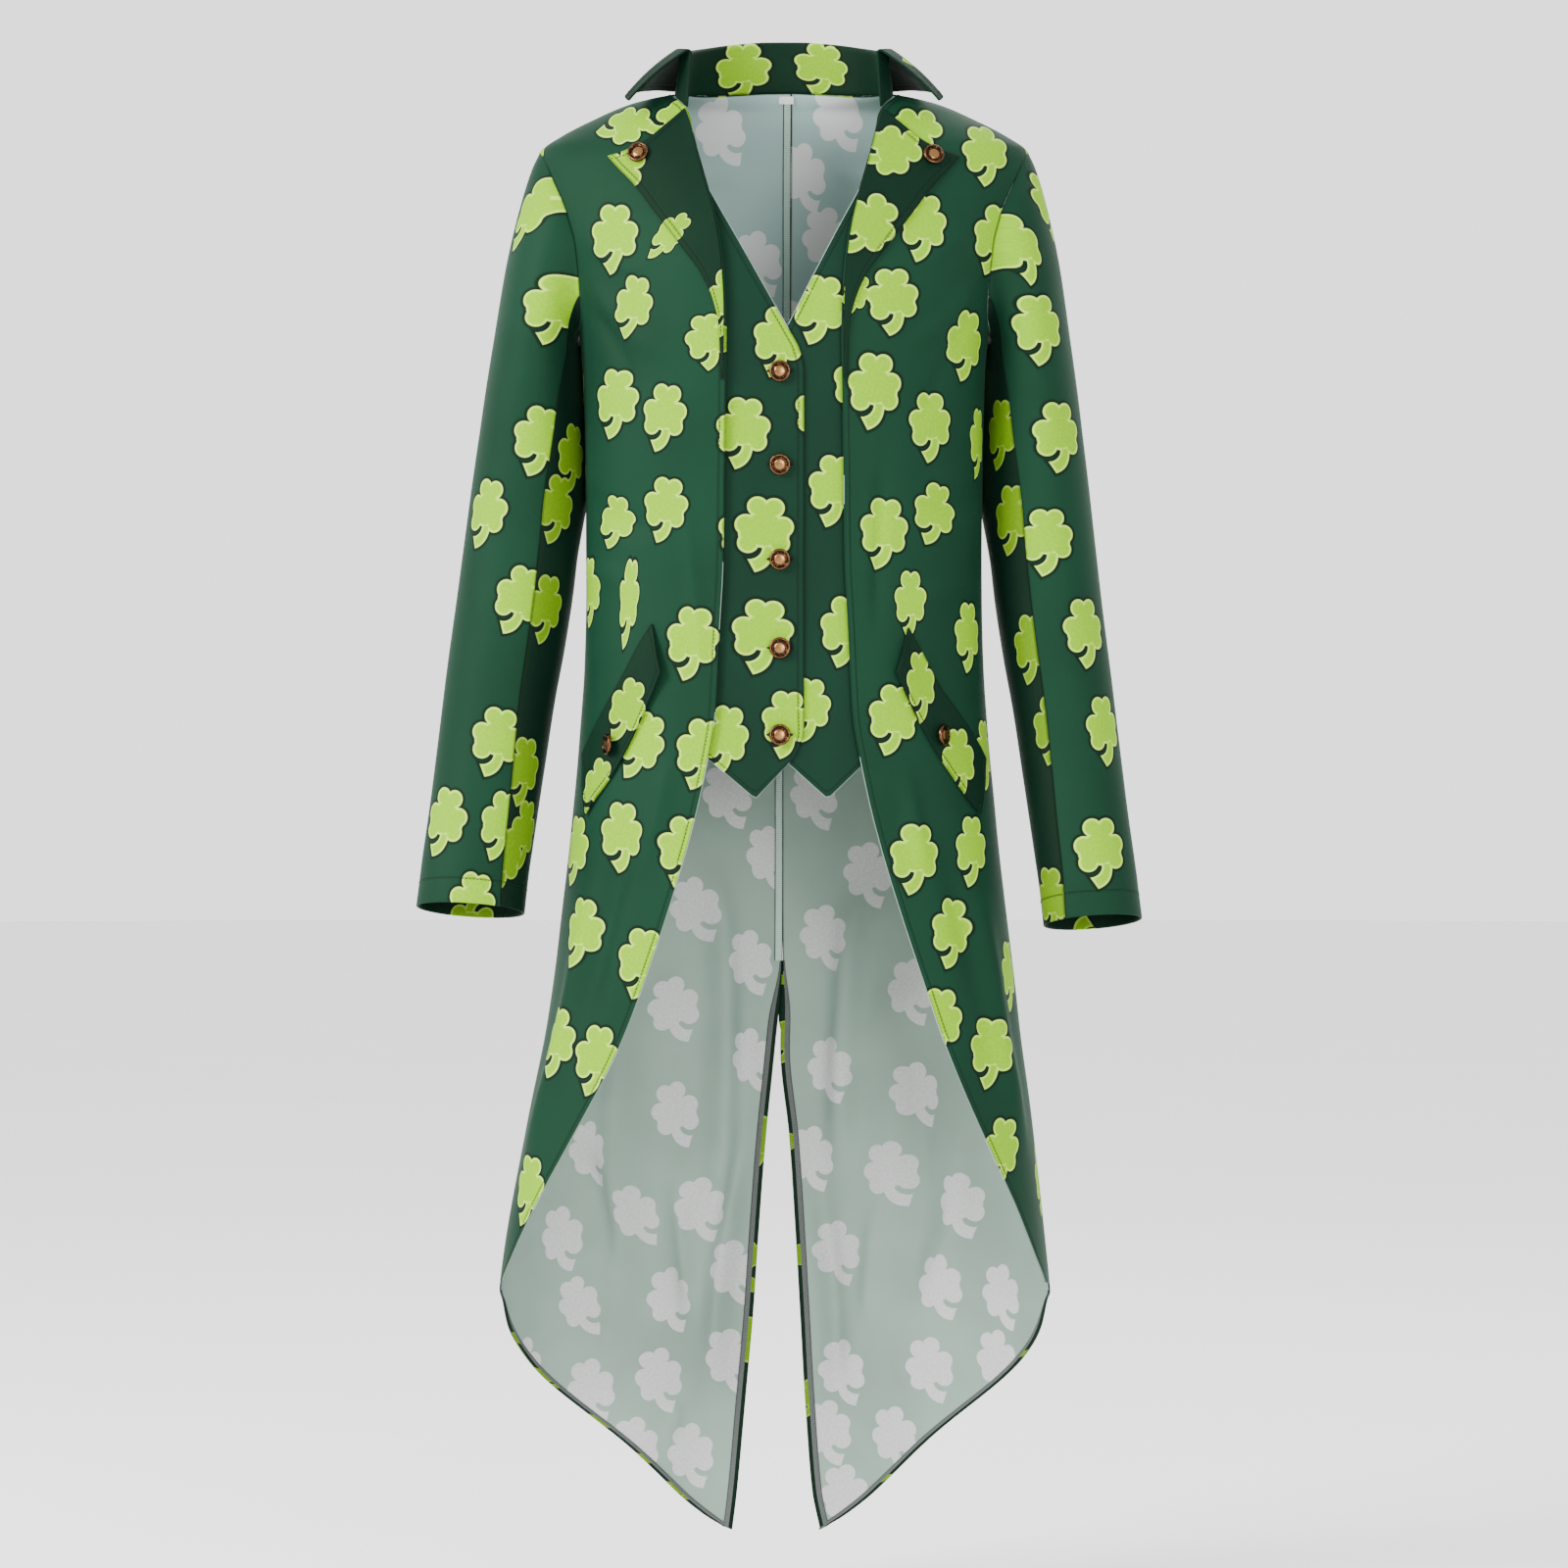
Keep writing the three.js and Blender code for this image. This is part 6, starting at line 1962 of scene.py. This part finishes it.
class COAT_OT_stage(Operator):
    """Pale floor, soft lights and the photograph's camera"""

    bl_idname = "coat.stage"
    bl_label = "Stage"

    def execute(self, context):
        s = settings()
        scene = bpy.context.scene
        lens = SENSOR_WIDTH * CAMERA_DISTANCE / PICTURE_WIDTH
        camera = bpy.data.objects.new("photograph_camera", bpy.data.cameras.new("photograph_camera"))
        camera.data.sensor_width, camera.data.lens = SENSOR_WIDTH, lens
        camera.data.clip_end = 50
        camera.location = (0.0, -CAMERA_DISTANCE * MM, CAMERA_HEIGHT * MM)
        camera.rotation_euler = (math.pi / 2, 0, 0)
        scene.collection.objects.link(camera)
        scene.camera = camera
        self.floor(s.stage.floor_height)
        world = scene.world or bpy.data.worlds.new("surround")
        scene.world = world
        world.use_nodes = True
        ground = next(n for n in world.node_tree.nodes if n.type == "BACKGROUND")
        ground.inputs["Color"].default_value = (1.0, 1.0, 1.0, 1.0)
        ground.inputs["Strength"].default_value = s.stage.world_strength
        for name, place, size, power in (
            ("key_light", (-3.1, -2.3, 1.3), 1.5, s.stage.key_power),
            ("fill_light", (1.3, -4.3, -0.1), 1.5, s.stage.fill_power),
            ("top_light", (0.6, 1.6, 2.2), 2.4, s.stage.fill_power * 0.35),
        ):
            light = bpy.data.lights.new(name, "AREA")
            light.energy, light.size = power, size
            lamp = bpy.data.objects.new(name, light)
            lamp.location = place
            aim = np.array([0.0, 0.0, -0.6]) - np.array(place)
            across = math.atan2(aim[0], -aim[1])
            lamp.rotation_euler = (math.acos(-aim[2] / np.linalg.norm(aim)), 0.0, math.pi + across)
            scene.collection.objects.link(lamp)
        return {"FINISHED"}

    def floor(self, floor_z):
        """A wide round floor: rings of points about the costume, dished up very slightly towards its rim."""
        reach = np.array([0.0, 400.0, 900.0, 1800.0, 3600.0, 7000.0, 12000.0, 20000.0])
        turn = np.arange(48) * np.pi / 24
        x, y = reach[:, None] * np.cos(turn), reach[:, None] * np.sin(turn)
        z = floor_z / MM + 60 * (reach[:, None] / 20000) ** 2 + 0 * x
        verts = np.stack([x, y, z], -1).reshape(-1, 3)
        number = np.arange(len(verts)).reshape(len(reach), -1)
        material, b, shader = principled("pale floor")
        tone = b.noise(b.object_place(), 2.0)
        b.link(b.blend(tone, (0.86, 0.86, 0.86, 1), (0.9, 0.9, 0.9, 1)), shader.inputs["Base Color"])
        shader.inputs["Roughness"].default_value = 0.9
        shader.inputs["Specular IOR Level"].default_value = 0.1
        floor = mesh_object("floor", verts, tube_faces(number)[:, ::-1], [material])
        weld(floor)


OPERATORS = (
    COAT_OT_stage, COAT_OT_backs, COAT_OT_fronts, COAT_OT_sleeves, COAT_OT_vest, COAT_OT_lapels,
    COAT_OT_collar, COAT_OT_flaps, COAT_OT_buttons, COAT_OT_label, COAT_OT_edges, COAT_OT_topstitching,
    COAT_OT_buttonholes,
)


class COAT_PT_tailcoat(Panel):
    """Lists the costume's pieces"""

    bl_label = "Tailcoat"
    bl_idname = "COAT_PT_tailcoat"
    bl_space_type = "VIEW_3D"
    bl_region_type = "UI"
    bl_category = "Tailcoat"

    def draw(self, context):
        for operator in OPERATORS:
            self.layout.operator(operator.bl_idname)
        for group in ("coat_cloth", "coat_print", "coat_sewing", "coat_stage"):
            box = self.layout.box()
            owner = getattr(context.scene, group)
            for key in owner.__annotations__:
                box.prop(owner, key)


CLASSES = (ClothSettings, PrintSettings, SewingSettings, StageSettings, *OPERATORS, COAT_PT_tailcoat)


def register():
    for cls in CLASSES:
        bpy.utils.register_class(cls)
    bpy.types.Scene.coat_cloth = PointerProperty(type=ClothSettings)
    bpy.types.Scene.coat_print = PointerProperty(type=PrintSettings)
    bpy.types.Scene.coat_sewing = PointerProperty(type=SewingSettings)
    bpy.types.Scene.coat_stage = PointerProperty(type=StageSettings)


def unregister():
    for key in ("coat_cloth", "coat_print", "coat_sewing", "coat_stage"):
        delattr(bpy.types.Scene, key)
    for cls in reversed(CLASSES):
        bpy.utils.unregister_class(cls)


def main():
    register()
    for operator in OPERATORS:
        group, name = operator.bl_idname.split(".")
        getattr(getattr(bpy.ops, group), name)()


if __name__ == "__main__":
    main()
